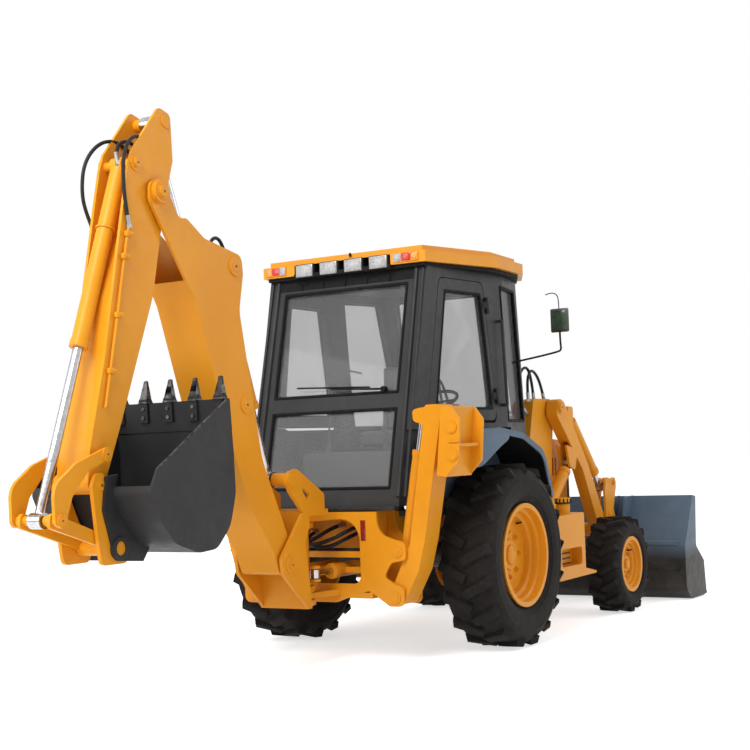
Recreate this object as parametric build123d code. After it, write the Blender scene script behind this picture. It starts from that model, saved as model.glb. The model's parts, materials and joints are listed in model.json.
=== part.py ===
from build123d import *
import os
from math import cos, hypot, pi, radians, sin, tan

# Backhoe loader, millimetres. +X points forward to the loader, +Y left, +Z up.
# Stations are measured from the ground point under the rear axle's centre; save() moves every
# piece so that the part's origin is on the ground at the middle of the machine's length.
origin_ahead = -140

# Driving dimensions
wheelbase = 2227
rear_tyre_radius = 671
rear_tyre_width = 430
rear_wheel_y = 903
rear_rim_radius = 356
front_tyre_radius = 412
front_tyre_width = 310
front_wheel_y = 894
front_rim_radius = 216
pin_clearance = 0.5
side_gap = 6
plate = 20

# Pivots in the side view: x, z
arm_pivot = (1830, 1770)
bucket_pivot = (3000, 290)
lift_base = (1250, 620)
lift_eye = (2050, 1290)
lever_pivot = (2760, 800)
lever_rod_pin = (2740, 1060)
lever_link_pin = (2890, 1090)
bucket_link_pin = (3090, 640)
tilt_base = (2060, 1740)
swing_axis_x = -1320
boom_foot = (-1724, 738)
boom_knee = (-2177, 2686)
post_pin = (-1690, 1302)
boom_tip = (-2918, 3072)
dipper_base = (-2110, 1800)
dipper_top = (-2791, 3523)
bucket_base = (-3083, 3229)
guide_pivot = (-3488, 1515)
link_pin = (-3872, 1164)
digging_pivot = (-3524, 1342)
digging_link_pin = (-3405, 978)
# Hinge lines of the doors and the hood
door_hinge_low = (351, 1740)
door_hinge_high = (209, 2640)
door_hinge_y = 745
hood_hinge = (1395, 1575)
# Stabiliser pivots seen from behind: y outwards, z
leg_pivot = (600, 460)
leg_cylinder_base = (630, 775)
leg_cylinder_eye = (800, 1700)
leg_x = -940
leg_depth = 196


def block(x0, x1, y0, y1, z0, z1):
    """A box between two corners."""
    return Pos((x0 + x1) / 2, (y0 + y1) / 2, (z0 + z1) / 2) * Box(x1 - x0, y1 - y0, z1 - z0)


def outline(points, radius=0):
    """A flat face through points, its corners rounded: a point's third value is its own radius."""
    face = make_face(Polyline([point[:2] for point in points], close=True))
    wanted = {}
    for point in points:
        corner_radius = point[2] if len(point) > 2 else radius
        if corner_radius:
            corner = min(face.vertices(), key=lambda v: hypot(v.X - point[0], v.Y - point[1]))
            wanted.setdefault(corner_radius, []).append(Vector(*corner))
    for corner_radius, corners in wanted.items():
        found = [v for v in face.vertices() if any((c - Vector(*v)).length < 1e-3 for c in corners)]
        face = fillet(found, corner_radius)
    return face


def side_plate(points, y0, y1, radius=0):
    """A plate with its outline in the side view (x, z), from y0 to y1."""
    return extrude(Plane.XZ.offset(-y1) * outline(points, radius), y1 - y0)


def rear_plate(points, x0, x1, radius=0):
    """A plate with its outline seen from behind (y, z), from x0 to x1."""
    return extrude(Plane.YZ.offset(x0) * outline(points, radius), x1 - x0)


def plan_plate(points, z0, z1, radius=0):
    """A plate with its outline in plan (x, y), from z0 to z1."""
    return extrude(Plane.XY.offset(z0) * outline(points, radius), z1 - z0)


def rod_between(start, end, radius):
    """A round bar from one point to another."""
    start, end = Vector(*start), Vector(*end)
    return Plane(origin=start, z_dir=end - start) * Cylinder(
        radius, (end - start).length, align=(Align.CENTER, Align.CENTER, Align.MIN))


def cross_pin(centre, radius, y0, y1):
    """A round pin across the machine at a side-view point."""
    return rod_between((centre[0], min(y0, y1), centre[1]), (centre[0], max(y0, y1), centre[1]), radius)


def along_pin(centre, radius, x0, x1):
    """A round pin along the machine at a point seen from behind."""
    return rod_between((x0, centre[0], centre[1]), (x1, centre[0], centre[1]), radius)


def upright_pin(centre, radius, z0, z1):
    """A round pin standing at a point in plan."""
    return rod_between((centre[0], centre[1], z0), (centre[0], centre[1], z1), radius)


def mirrored(solid):
    return mirror(solid, about=Plane.XZ)


def both(solid):
    """The piece and its twin on the other side."""
    return [solid, mirrored(solid)]


def on_side(solid, side):
    return solid if side > 0 else mirrored(solid)


def ahead(start, end, along, side=0):
    """The point at a distance from start towards end, and to its left."""
    length = hypot(end[0] - start[0], end[1] - start[1])
    u, w = (end[0] - start[0]) / length, (end[1] - start[1]) / length
    return (start[0] + u * along - w * side, start[1] + w * along + u * side)


def distance(start, end):
    return hypot(end[0] - start[0], end[1] - start[1])


def save(name, *pieces):
    """Writes one node: its pieces stay separate solids where they don't touch."""
    solids = []
    for piece in pieces:
        for item in piece if isinstance(piece, list) else [piece]:
            solids += item.solids()
    moved = [solid.moved(Location((-origin_ahead, 0, 0))) for solid in solids]
    export_step(moved[0] if len(moved) == 1 else Compound(children=moved), f"parts/{name}.step")


os.makedirs("parts", exist_ok=True)
sides = ((1, "left"), (-1, "right"))

# Wheels. A tyre is a ring of flat facets with bar lugs that slant forwards to the shoulders.
lug_height = 26
lug_slant = 27
lug_share = 0.27
bead_gap = 1
rim_wall = 14
flange_height = 20
flange_width = 14
hub_gap = 3
# tyre section: share of the half width, share of the way from the rim to the lugs' foot
tyre_section = [(-0.72, 0), (-1, 0.5), (-0.86, 1), (0.86, 1), (1, 0.5), (0.72, 0)]


def turned(points, side):
    """A ring turned about the Y axis: points are (outwards, radius)."""
    face = make_face(Polyline([(radius, outwards) for outwards, radius in points], close=True))
    return on_side(revolve(Plane(origin=(0, 0, 0), x_dir=(1, 0, 0), z_dir=(0, 0, 1)) * face, Axis.Y), side)


def tyre(radius, width, rim_radius, lugs):
    """Flat-sided ring with two rows of lugs, the rows half a pitch apart."""
    half = width / 2
    foot = radius - lug_height
    half_turn = pi / (2 * lugs)
    bore = rim_radius + bead_gap
    section = [(bore + rise * (foot * cos(half_turn) - bore), share * half) for share, rise in tyre_section]
    wheel_plane = Plane(origin=(0, 0, 0), x_dir=(1, 0, 0), z_dir=(0, 0, 1))
    slice_half = 1.2 * radius * tan(half_turn)
    slab = extrude(wheel_plane * make_face(Polyline(section, close=True)), slice_half, both=True)
    wedge = Polyline([(0, 0), (1.2 * radius, slice_half), (1.2 * radius, -slice_half)], close=True)
    facet = slab & extrude(Plane.XZ * make_face(wedge), width, both=True)
    facets = [Rot(0, index * 180 / lugs, 0) * facet for index in range(2 * lugs)]
    slant = radians(lug_slant)
    run = half / cos(slant)
    thick = 2 * pi * radius / lugs * lug_share
    top = (radius ** 2 - (run * sin(slant) / 2 + thick / 2) ** 2) ** 0.5
    low = foot - 1.8 * lug_height
    profile = [(-0.05 * run, low), (-0.05 * run, top), (0.84 * run, top), (0.93 * run, low)]
    lug_plane = Plane(origin=(-run * sin(slant) / 2, 0, 0), x_dir=(sin(slant), cos(slant), 0),
                      z_dir=(cos(slant), -sin(slant), 0))
    lug = extrude(lug_plane * make_face(Polyline(profile, close=True)), thick / 2, both=True)
    pitch = 360 / lugs
    bars = [Rot(0, index * pitch, 0) * lug for index in range(lugs)]
    bars += [Rot(0, (index + 0.5) * pitch, 0) * mirrored(lug) for index in range(lugs)]
    return facets[0].fuse(*facets[1:]).fuse(*bars)


def rim_section(radius, width, disc_out, hub_radius, hub_length):
    """Dished rim as (outwards, radius): flanges, a barrel that steps down to the disc, and the hub's seat."""
    half = width * 0.44
    disc_in = disc_out - rim_wall
    well = radius - rim_wall
    step = (half - disc_out) / 4
    return [(-half, radius + flange_height), (-half, well), (disc_in, well - 44), (disc_in, hub_radius),
            (disc_in - hub_length, hub_radius), (disc_in - hub_length, 0), (disc_out + 20, 0),
            (disc_out + 20, hub_radius * 0.72), (disc_out, hub_radius * 0.8), (disc_out, well - 66),
            (disc_out + step, well - 56), (disc_out + 1.3 * step, well - 30), (disc_out + 2.3 * step, well - 24),
            (disc_out + 2.6 * step, well - 4), (half, well), (half, radius + flange_height),
            (half - flange_width, radius + flange_height), (half - flange_width, radius),
            (-half + flange_width, radius), (-half + flange_width, radius + flange_height)]


# axle, x, outwards, tyre radius, tyre width, rim radius, lugs a row, disc outwards, hub radius, hub length
axles = [
    ("rear", 0, rear_wheel_y, rear_tyre_radius, rear_tyre_width, rear_rim_radius, 17, 40, 150, 130),
    ("front", wheelbase, front_wheel_y, front_tyre_radius, front_tyre_width, front_rim_radius, 16, 60, 95, 90),
]
hub_faces = {}
for axle, x, outwards, radius, width, rim_radius, lugs, disc_out, hub_radius, hub_length in axles:
    tyre_solid = tyre(radius, width, rim_radius, lugs)
    section = rim_section(rim_radius, width, disc_out, hub_radius, hub_length)
    hub_faces[axle] = outwards + disc_out - rim_wall - hub_length
    for side, word in sides:
        seat = Pos(x, side * outwards, radius)
        save(f"{axle}_{word}_tyre", seat * on_side(tyre_solid, side))
        save(f"{axle}_{word}_rim", seat * turned(section, side))
rear_hub_face = hub_faces["rear"]
front_hub_face = hub_faces["front"]

# Frame: two rails, cross members, a nose with a tow eye, and a bulkhead that carries the hood's hinge
rail_out = 360
rail_in = 300
rail_low = 600
rail_top = 860
rail_rear_low = 790
rail_rear_top = 1030
rail_middle = (rail_in + rail_out) / 2
rear_face = -1070
leg_gap = 12
front_sheet = leg_x + leg_depth / 2 + leg_gap
rail_start = front_sheet + plate
nose_x = 2470
step_back = 560
step_front = 760
rail_slope = 60
cross_size = 80
saddle_half = 120
saddle_low = 520
axle_pad_half = 120
axle_pad_height = 20
hinge_radius = 14
hinge_pin = 8
rail = side_plate([(rail_start, rail_rear_low), (step_back, rail_rear_low), (step_front, rail_low),
                   (nose_x, rail_low), (nose_x, rail_top), (step_front + rail_slope, rail_top),
                   (step_back + rail_slope, rail_rear_top), (rail_start, rail_rear_top)], rail_in, rail_out)
main_frame = rail + mirrored(rail)
# cross members: x, z
for x, z in ((-600, rail_rear_low), (360, rail_rear_low), (1000, rail_low)):
    main_frame += block(x, x + cross_size, -rail_in, rail_in, z, z + cross_size)
main_frame += block(nose_x - plate, nose_x, -rail_in, rail_in, rail_low, rail_top)
for side, word in sides:
    main_frame += block(-axle_pad_half, axle_pad_half, side * rail_middle - 60, side * rail_middle + 60,
                        rail_rear_low - axle_pad_height, rail_rear_low)
main_frame += block(wheelbase - saddle_half, wheelbase + saddle_half, -rail_in, rail_in, saddle_low, rail_low + 40)
tow_eye = (nose_x + 50, 730)
tow_radius = 20
tow_half = 20
main_frame += side_plate([(nose_x - 10, tow_eye[1] - 40), (tow_eye[0] + 40, tow_eye[1] - 40, 30),
                          (tow_eye[0] + 40, tow_eye[1] + 40, 30), (nose_x - 10, tow_eye[1] + 40)],
                         -tow_half, tow_half)
main_frame -= cross_pin(tow_eye, tow_radius, -100, 100)
bulkhead_x = 1340
bulkhead_depth = 20
bulkhead_post = 50
bulkhead_top = hood_hinge[1] - 40
main_frame += block(bulkhead_x, bulkhead_x + bulkhead_depth, -rail_out, rail_out, rail_top - 20, bulkhead_top)
main_frame -= block(bulkhead_x - 10, bulkhead_x + bulkhead_depth + 10, -rail_out + bulkhead_post,
                    rail_out - bulkhead_post, rail_top, bulkhead_top - bulkhead_post)


def knuckles(start, end):
    """A hinge on the line from start to end: the knuckle that moves, and the fixed pin with its two knuckles."""
    start, end = Vector(*start), Vector(*end)

    def at(share):
        return tuple(start + (end - start) * share)

    moving = rod_between(at(0.28), at(0.72), hinge_radius) - rod_between(start, end, hinge_pin + pin_clearance)
    fixed = rod_between(start, end, hinge_pin) + rod_between(start, at(0.25), hinge_radius)
    return moving, fixed + rod_between(at(0.75), end, hinge_radius)


hood_knuckle_in = 170
hood_knuckle_out = 290
hood_hinge_turns, hood_hinge_stays = knuckles((hood_hinge[0], hood_knuckle_in, hood_hinge[1]),
                                              (hood_hinge[0], hood_knuckle_out, hood_hinge[1]))
knuckle_share = 0.24 * (hood_knuckle_out - hood_knuckle_in)
hinge_bracket = [(bulkhead_x, bulkhead_top - 20), (bulkhead_x + bulkhead_depth, bulkhead_top - 20),
                 (bulkhead_x + bulkhead_depth, hood_hinge[1] - 12), (hood_hinge[0], hood_hinge[1] - 12),
                 (hood_hinge[0], hood_hinge[1] + 10), (bulkhead_x + 5, hood_hinge[1] + 10)]
for y0 in (hood_knuckle_in, hood_knuckle_out - knuckle_share):
    hood_hinge_stays += side_plate(hinge_bracket, y0, y0 + knuckle_share)
main_frame += hood_hinge_stays + mirrored(hood_hinge_stays)
save("main_frame", main_frame)

# Axles
axle_tube_radius = 95
rear_brake_radius = 140
rear_brake_length = 110
rear_axle = rod_between((0, -rear_hub_face + hub_gap, rear_tyre_radius),
                        (0, rear_hub_face - hub_gap, rear_tyre_radius), axle_tube_radius)
# differential housing: outwards, radius
housing = [(-260, 0), (-260, axle_tube_radius), (-110, 180), (110, 180), (260, axle_tube_radius), (260, 0)]
rear_axle += Pos(0, 0, rear_tyre_radius) * turned(housing, 1)
for side, word in sides:
    rear_axle += rod_between((0, side * (rear_hub_face - rear_brake_length), rear_tyre_radius),
                             (0, side * (rear_hub_face - hub_gap), rear_tyre_radius), rear_brake_radius)
    rear_axle += block(-axle_pad_half, axle_pad_half, side * rail_middle - 60, side * rail_middle + 60,
                       rear_tyre_radius, rail_rear_low - axle_pad_height)
save("rear_axle", rear_axle)

kingpin_y = 690
kingpin_radius = 30
kingpin_half = 100
beam_half = 60
beam_end = 610
beam_depth = 150
yoke_gap = 58
yoke_plate = 40
beam_points = [(beam_end - 20, -beam_half), (beam_end, 0), (beam_end - 20, beam_half + 10), (140, beam_half + 10),
               (100, saddle_low - front_tyre_radius)]
beam_outline = [(y, front_tyre_radius + z) for y, z in beam_points]
front_axle = rear_plate(beam_outline + [(-y, z) for y, z in reversed(beam_outline)],
                        wheelbase - beam_depth / 2, wheelbase + beam_depth / 2)
for side, word in sides:
    for z0, z1 in ((yoke_gap, yoke_gap + yoke_plate), (-yoke_gap - yoke_plate, -yoke_gap)):
        yoke = plan_plate([(wheelbase - 60, beam_end - 50), (wheelbase + 60, beam_end - 50),
                           (wheelbase + 60, kingpin_y + 50, 50), (wheelbase - 60, kingpin_y + 50, 50)],
                          front_tyre_radius + z0, front_tyre_radius + z1)
        front_axle += on_side(yoke, side)
    front_axle -= upright_pin((wheelbase, side * kingpin_y), kingpin_radius + pin_clearance,
                              front_tyre_radius - kingpin_half - 20, front_tyre_radius + kingpin_half + 20)
save("front_axle", front_axle)

spindle_radius = 85
for side, word in sides:
    knuckle = upright_pin((wheelbase, kingpin_y), kingpin_radius, front_tyre_radius - kingpin_half,
                          front_tyre_radius + kingpin_half)
    knuckle += block(wheelbase - 45, wheelbase + 45, kingpin_y - 42, front_hub_face - 35,
                     front_tyre_radius - yoke_gap + side_gap, front_tyre_radius + yoke_gap - side_gap)
    knuckle += rod_between((wheelbase, front_hub_face - 40, front_tyre_radius),
                           (wheelbase, front_hub_face - hub_gap, front_tyre_radius), spindle_radius)
    save(f"{word}_knuckle", on_side(knuckle, side))

# Engine and gearbox: the heavy mass between the rails
engine_start = 1380
save("engine_block", block(engine_start, 2100, -250, 250, rail_low + 40, 1330) +
     block(450, engine_start, -200, 200, rail_low + cross_size, rail_top - 40) +
     block(1400, 2000, -rail_in, rail_in, rail_top - 100, rail_top - 40))

# Hood and grille
hood_rear = 1380
hood_front = 2440
hood_half = 365
hood_wall = 12
hood_top_rear = 1560
hood_top_front = 1490
hood_low = rail_top + side_gap
hood_nose_drop = 60


def hood_volume(wall, past):
    """The hood's outside moved in by a wall, and past its open faces."""
    return side_plate([(hood_rear - past, hood_low - past), (hood_front + past, hood_low - past),
                       (hood_front + past, hood_top_front - hood_nose_drop - wall, 50),
                       (hood_front - hood_nose_drop, hood_top_front - wall, 30),
                       (hood_rear - past, hood_top_rear - wall)], -hood_half + wall, hood_half - wall)


engine_hood = hood_volume(0, 0) - hood_volume(hood_wall, 10)
leaf = side_plate([(hood_hinge[0] - 6, hood_top_rear - 8), (hood_hinge[0] + 50, hood_top_rear - 12),
                   (hood_hinge[0] + 50, hood_top_rear), (hood_hinge[0] + 8, hood_hinge[1] + 4),
                   (hood_hinge[0] - 8, hood_hinge[1] - 10)], hood_knuckle_in + 1.2 * knuckle_share,
                  hood_knuckle_out - 1.2 * knuckle_share)
leaf -= cross_pin(hood_hinge, hinge_pin + pin_clearance, 0, 1000)
turning = leaf + hood_hinge_turns
engine_hood += turning + mirrored(turning)
louvre_pitch = 60
for index in range(6):
    x = 1900 + index * louvre_pitch
    engine_hood -= side_plate([(x, 1180, 6), (x + 24, 1180, 6), (x + 24, 1340, 6), (x, 1340, 6)], -500, 500)
save("engine_hood", engine_hood)

grille_depth = 45
grille_low = hood_low
grille_high = hood_top_front - 80
grille_back = hood_front + side_gap
grille_edge = 70
grille_slats = 7
lamp_radius = 60
grille = block(grille_back, grille_back + grille_depth, -hood_half, hood_half, grille_low, grille_high)
grille -= block(grille_back + 12, grille_back + grille_depth + 10, -hood_half + grille_edge, hood_half - grille_edge,
                grille_low + grille_edge, grille_high - 2 * grille_edge)
slat_pitch = (grille_high - grille_low - 3 * grille_edge) / (grille_slats + 1)
for index in range(grille_slats):
    z = grille_low + grille_edge + (index + 1) * slat_pitch
    grille += block(grille_back + 10, grille_back + grille_depth - 6, -hood_half + grille_edge - 2,
                    hood_half - grille_edge + 2, z - 8, z + 8)
for side, word in sides:
    centre = (side * (hood_half - grille_edge), grille_high - grille_edge)
    grille += along_pin(centre, lamp_radius, grille_back, grille_back + grille_depth + 8)
grille += block(grille_back - 60, grille_back, -hood_half + 60, hood_half - 60, grille_low, grille_high - 130)
grille += block(grille_back - 30, grille_back, -hood_half + hood_wall, hood_half - hood_wall,
                grille_high - 120, grille_high - 90)
save("front_grille", grille)

# Cab: side view and plan, each moved in by the wall for the inside
cab_low = 1080
cab_top = 2800
cab_wall = 50
cab_rear_low = -1000
cab_rear_top = -565
cab_front_low = 1270
cab_front_top = 1000
cab_half = 730
cab_rear_half = 645
cab_nose_half = 520
cab_side_start = 200
cab_side_end = 520
arch_half = 612
arch_top = 1610
arch_front = 640
far = 1500


def cab_volume(inset):
    """The cab's outside moved in by an inset, without the arches over the rear wheels."""
    side_view = side_plate([(cab_rear_low + inset, cab_low + inset), (cab_front_low - inset, cab_low + inset),
                            (cab_front_top - inset, cab_top - inset), (cab_rear_top + inset, cab_top - inset)],
                           -far, far)
    back = (cab_rear_low - 50, cab_rear_half - inset)
    front = (cab_front_low + 130, cab_nose_half - inset)
    half_plan = [back, (cab_side_start, cab_half - inset), (cab_side_end, cab_half - inset), front]
    plan = plan_plate(half_plan + [(x, -y) for x, y in reversed(half_plan)], cab_low - 50, cab_top + 50)
    arch = block(-far, arch_front + inset, arch_half - inset, far, 0, arch_top + inset)
    return (side_view & plan) - arch - mirrored(arch)


def grown(points, amount):
    """The same outline moved outwards from its middle by an amount."""
    middle_x = sum(point[0] for point in points) / len(points)
    middle_z = sum(point[1] for point in points) / len(points)
    return [(point[0] + (amount if point[0] > middle_x else -amount),
             point[1] + (amount if point[1] > middle_z else -amount), point[2]) for point in points]


# side-view outlines as x, z, corner radius
door_gap = 6
door_sill_gap = 20
door_edge = [(-650, 1664, 60), (345, 1664, 60), (180, 2700, 60), (-420, 2700, 60)]
door_window = [(-520, 1754, 50), (270, 1754, 50), (140, 2610, 50), (-350, 2610, 50)]
quarter_edge = [(560, 1660, 30), (1120, 1660, 30), (905, 2690, 30), (480, 2690, 30)]
opening_edge = [(x, z - (door_sill_gap - door_gap if z < arch_top + 100 else 0), radius)
                for x, z, radius in grown(door_edge, door_gap)]
window_margin = 120
# rear windows: low, high
rear_windows = [(1880, 2660), (1210, 1760)]
windscreen = (1700, 2700)
windscreen_margin = 40
cab_wall_shell = cab_volume(0) - cab_volume(cab_wall)
cab_shell = cab_wall_shell
end_windows = [block(-far, -400, -cab_rear_half + window_margin, cab_rear_half - window_margin, low, high)
               for low, high in rear_windows]
end_windows.append(block(cab_front_top - 200, far, -cab_nose_half + windscreen_margin,
                         cab_nose_half - windscreen_margin, *windscreen))
quarter = side_plate(quarter_edge, cab_nose_half - 100, far)
for cut in end_windows + both(side_plate(opening_edge, 0, far)) + both(quarter):
    cab_shell -= cut
mount_half = 30
for x in (-520, 520):
    for side, word in sides:
        cab_shell += block(x - 40, x + 40, side * rail_middle - mount_half, side * rail_middle + mount_half,
                           rail_rear_top, cab_low + 20)

hinge_length = 120
leaf_thickness = 12
leaf_length = 55
hinge_line = (Vector(door_hinge_low[0], door_hinge_y, door_hinge_low[1]),
              Vector(door_hinge_high[0], door_hinge_y, door_hinge_high[1]))
lean = (hinge_line[1] - hinge_line[0]).normalized()
door_leaves = []
for share in (0.12, 0.88):
    middle = hinge_line[0] + (hinge_line[1] - hinge_line[0]) * share
    turns, stays = knuckles(tuple(middle - lean * hinge_length / 2), tuple(middle + lean * hinge_length / 2))
    x, z = middle.X, middle.Z
    inner = cab_half - 2
    turns += block(x - leaf_length, x - hinge_pin - 2, door_hinge_y - leaf_thickness, door_hinge_y, z - 24, z + 24)
    turns += block(x - leaf_length, x - 32, inner - 10, door_hinge_y - leaf_thickness, z - 24, z + 24)
    turns -= rod_between(tuple(middle - lean * hinge_length), tuple(middle + lean * hinge_length),
                         hinge_pin + pin_clearance)
    for shift in (-45, 45):
        stays += block(x, x + leaf_length, inner, door_hinge_y, z + shift - 12, z + shift + 12)
    door_leaves.append(turns)
    cab_shell += stays + mirrored(stays)
save("cab_frame", cab_shell)

glass_inset = 20
glass_thickness = 6
glass_shell = cab_volume(glass_inset) - cab_volume(glass_inset + glass_thickness)
glass = [glass_shell & cut for cut in end_windows]
glass += both(glass_shell & quarter)
save("cab_glass", glass)

door_window_cut = side_plate(door_window, 0, far)
door = (side_plate(door_edge, 0, far) & cab_wall_shell) - door_window_cut
for turns in door_leaves:
    door += turns
for side, word in sides:
    save(f"{word}_door", on_side(door, side), on_side(door_window_cut & glass_shell, side))

# Roof: plan as x, half-width, with an eave under it and a recess for the rear work lamps
roof_plan = [(-638, 699), (174, 869), (760, 800), (1157, 601)]
roof_edge_top = 2882
roof_high = 2922
roof_crown = 0.94
eave_share = 0.96
eave_height = 24


def roof_layer(share, z0, z1):
    """A layer of the roof, its plan shrunk to a share."""
    half_plan = [(x * share, y * share) for x, y in roof_plan]
    return plan_plate(half_plan + [(x, -y) for x, y in reversed(half_plan)], z0, z1)


roof_rear = roof_plan[0][0]
recess_half = 415
recess_depth = 60
recess_low = 2806
lamp_half = 80
lamp_pitch = 213
roof = roof_layer(1, cab_top, roof_edge_top) + roof_layer(roof_crown, roof_edge_top, roof_high)
roof += roof_layer(eave_share, cab_top - eave_height, cab_top) - cab_volume(-1)
roof -= block(roof_rear - 10, roof_rear + recess_depth, -recess_half, recess_half, recess_low, roof_edge_top - 6)
for index in range(4):
    y = (index - 1.5) * lamp_pitch
    lamp = block(roof_rear + 4, roof_rear + recess_depth + 2, y - lamp_half, y + lamp_half, recess_low - 2,
                 roof_edge_top - 2)
    roof += lamp
# tail lamps: from y, to y
for y0, y1 in ((490, 674), (-646, -440)):
    roof += block(roof_rear - 8, roof_rear + 20, y0, y1, cab_top + 12, roof_edge_top - 4)
save("cab_roof", roof)

# Seat and controls
seat_base = 1480
save("operator_seat",
     side_plate([(-170, seat_base + 20, 40), (330, seat_base, 50), (340, seat_base + 110, 40),
                 (-170, seat_base + 130, 40)], -240, 240) +
     side_plate([(180, seat_base + 80, 30), (290, seat_base + 80, 40), (350, 2150, 50), (250, 2160, 40)], -225, 225) +
     block(-60, 260, -180, 180, cab_low + cab_wall, seat_base + 20))
wheel_centre = (700, 1850)
wheel_facets = 24
wheel_radius = 205
wheel_grip = 28
column_foot = (860, 1500)
console = side_plate([(800, cab_low + cab_wall), (1050, cab_low + cab_wall), (960, 1560, 60), (800, 1560, 60)],
                     -170, 170)
console += rod_between((column_foot[0], 0, column_foot[1]), (wheel_centre[0], 0, wheel_centre[1]), 35)
wheel_plane = Plane(origin=(wheel_centre[0], 0, wheel_centre[1]),
                    z_dir=Vector(wheel_centre[0] - column_foot[0], 0, wheel_centre[1] - column_foot[1]))
grip = RegularPolygon(wheel_radius, wheel_facets) - RegularPolygon(wheel_radius - wheel_grip, wheel_facets)
console += extrude(wheel_plane * grip, wheel_grip / 2, both=True)
for turn in (0, 60, 120):
    console += wheel_plane * Rot(0, 0, turn) * Box(2 * wheel_radius - wheel_grip, 24, 16)
backhoe_console = side_plate([(-640, cab_low + cab_wall), (-420, cab_low + cab_wall), (-440, 1500, 40),
                              (-600, 1500, 40)], -420, 420)
console += backhoe_console
for y in (-250, 250):
    console += rod_between((-520, y, 1480), (-480, y, 1780), 14)
    console += rod_between((-480, y, 1760), (-472, y, 1820), 26)
save("control_console", console)

# Fenders over the rear wheels: a skin with a lip along its outer edge, an inner wall and an arm to the rail
fender_in = 650
fender_out = 1050
fender_wall = 10
fender_lip = 45
fender_low = 1100
fender_arm_start = -560
fender_arm_end = 480
# side view of the top edge, from the rear to the step: x, z, corner radius
fender_top = [(-745, 1369), (-616, 1560, 120), (-270, 1604, 160), (120, 1560, 240), (480, 1420, 200), (617, 1077)]


def fender_sector(depth, y0, y1):
    """All below the fender's top edge down to the axle, moved in by a depth."""
    share = 1 - depth / (fender_top[1][1] - rear_tyre_radius)
    points = [(x * share, rear_tyre_radius + (z - rear_tyre_radius) * share, *rest) for x, z, *rest in fender_top]
    return side_plate(points + [(0, rear_tyre_radius)], y0, y1)


fender = fender_sector(0, fender_in, fender_out) - fender_sector(fender_wall, fender_in - 10, fender_out + 10)
fender += fender_sector(0, fender_out - fender_wall, fender_out) - \
    fender_sector(fender_lip, fender_in - 10, fender_out + 10)
fender += fender_sector(0, fender_in, fender_in + fender_wall) & block(-far, far, 0, far, fender_low, far + 200)
fender += block(fender_arm_start, fender_arm_end, rail_out, fender_in + 4, rail_rear_top - 40, rail_rear_top)
fender += block(fender_arm_start, fender_arm_end, fender_in - 30, fender_in + 4, rail_rear_top - 40, fender_low + 40)
save("rear_fenders", both(fender))

# Loader towers with the pivots of the arms and of the lift cylinders
tower_in = 395
tower_out = 485
arm_in = 500
arm_out = 600
arm_mid = (arm_in + arm_out) / 2
arm_pin_radius = 40
small_pin_radius = 30
pin_reach = 15
tower = side_plate([(1545, 1850, 40), (1910, 1850, 60), (1930, 1700), (1800, rail_top), (1800, rail_low),
                    (1150, rail_low - 60), (1180, rail_top), (1290, 1000)], tower_in, tower_out)
tower += block(1180, 1800, rail_out, tower_in, rail_low, rail_top)
tower += cross_pin(arm_pivot, arm_pin_radius, tower_out, arm_out + pin_reach)
tower += cross_pin(lift_base, small_pin_radius, tower_out, arm_out + pin_reach)
save("loader_towers", both(tower))

# Loader arms: bent box beams with ears for the two cylinders and a pocket round the lift cylinder's eye
arm_outline = [(1750, 1710, 60), (2264, 1224, 200), (2532, 770, 200), (2930, 240, 50), (3060, 240, 50),
               (3080, 330, 40), (2660, 860, 200), (2370, 1290, 200), (1910, 1820, 60), (1800, 1860, 60)]
lift_ear = [(1930, 1450), (1990, 1260, 30), (2100, 1230, 30), (2160, 1400)]
tilt_ear = [(1970, 1700), (2005, 1780, 30), (2095, 1780, 30), (2100, 1600)]
eye_pocket = [(1905, 1150), (2190, 1150), (2190, 1400, 40), (2110, 1480, 40), (1905, 1480)]
tilt_pin_radius = 28
cross_tube = (2650, 680)
cross_tube_radius = 60
arm = side_plate(arm_outline, arm_in, arm_out)
for y0 in (arm_in, arm_out - plate):
    arm += side_plate(lift_ear, y0, y0 + plate) + side_plate(tilt_ear, y0, y0 + plate)
arm -= side_plate(eye_pocket, arm_in + plate, arm_out - plate)
for pivot, radius in ((arm_pivot, arm_pin_radius), (lever_pivot, small_pin_radius), (bucket_pivot, small_pin_radius)):
    arm -= cross_pin(pivot, radius + pin_clearance, 0, far)
arm += cross_pin(tilt_base, tilt_pin_radius, arm_in, arm_out)
save("loader_arms", arm + mirrored(arm) + cross_pin(cross_tube, cross_tube_radius, -arm_in, arm_in))

gland_length = 40
gland_step = 5
bore_floor = 30


def barrel(base, eye, length, y, radius, bore, eye_radius, eye_width, pin_radius, neck=0):
    """A cylinder's barrel from its base eye towards the rod's eye; a neck joins it to a narrow eye."""

    def at(along):
        x, z = ahead(base, eye, along)
        return (x, y, z)

    body = rod_between(at(max(neck, eye_radius * 0.6)), at(length), radius)
    body += rod_between(at(length - gland_length), at(length), radius + gland_step)
    body += cross_pin(base, eye_radius, y - eye_width / 2, y + eye_width / 2)
    if neck:
        body += rod_between(at(eye_radius * 0.6), at(neck), eye_width / 2)
    body -= rod_between(at(max(neck, eye_radius) + bore_floor), at(length + 10), bore + pin_clearance)
    return body - cross_pin(base, pin_radius + pin_clearance, y - eye_width, y + eye_width)


def piston_rod(base, eye, inside, y, radius, eye_radius, eye_width):
    """A cylinder's rod: inside is how far it starts from the barrel's base."""
    start = ahead(base, eye, inside)
    body = rod_between((start[0], y, start[1]), (eye[0], y, eye[1]), radius)
    return body + cross_pin(eye, eye_radius, y - eye_width / 2, y + eye_width / 2)


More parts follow.
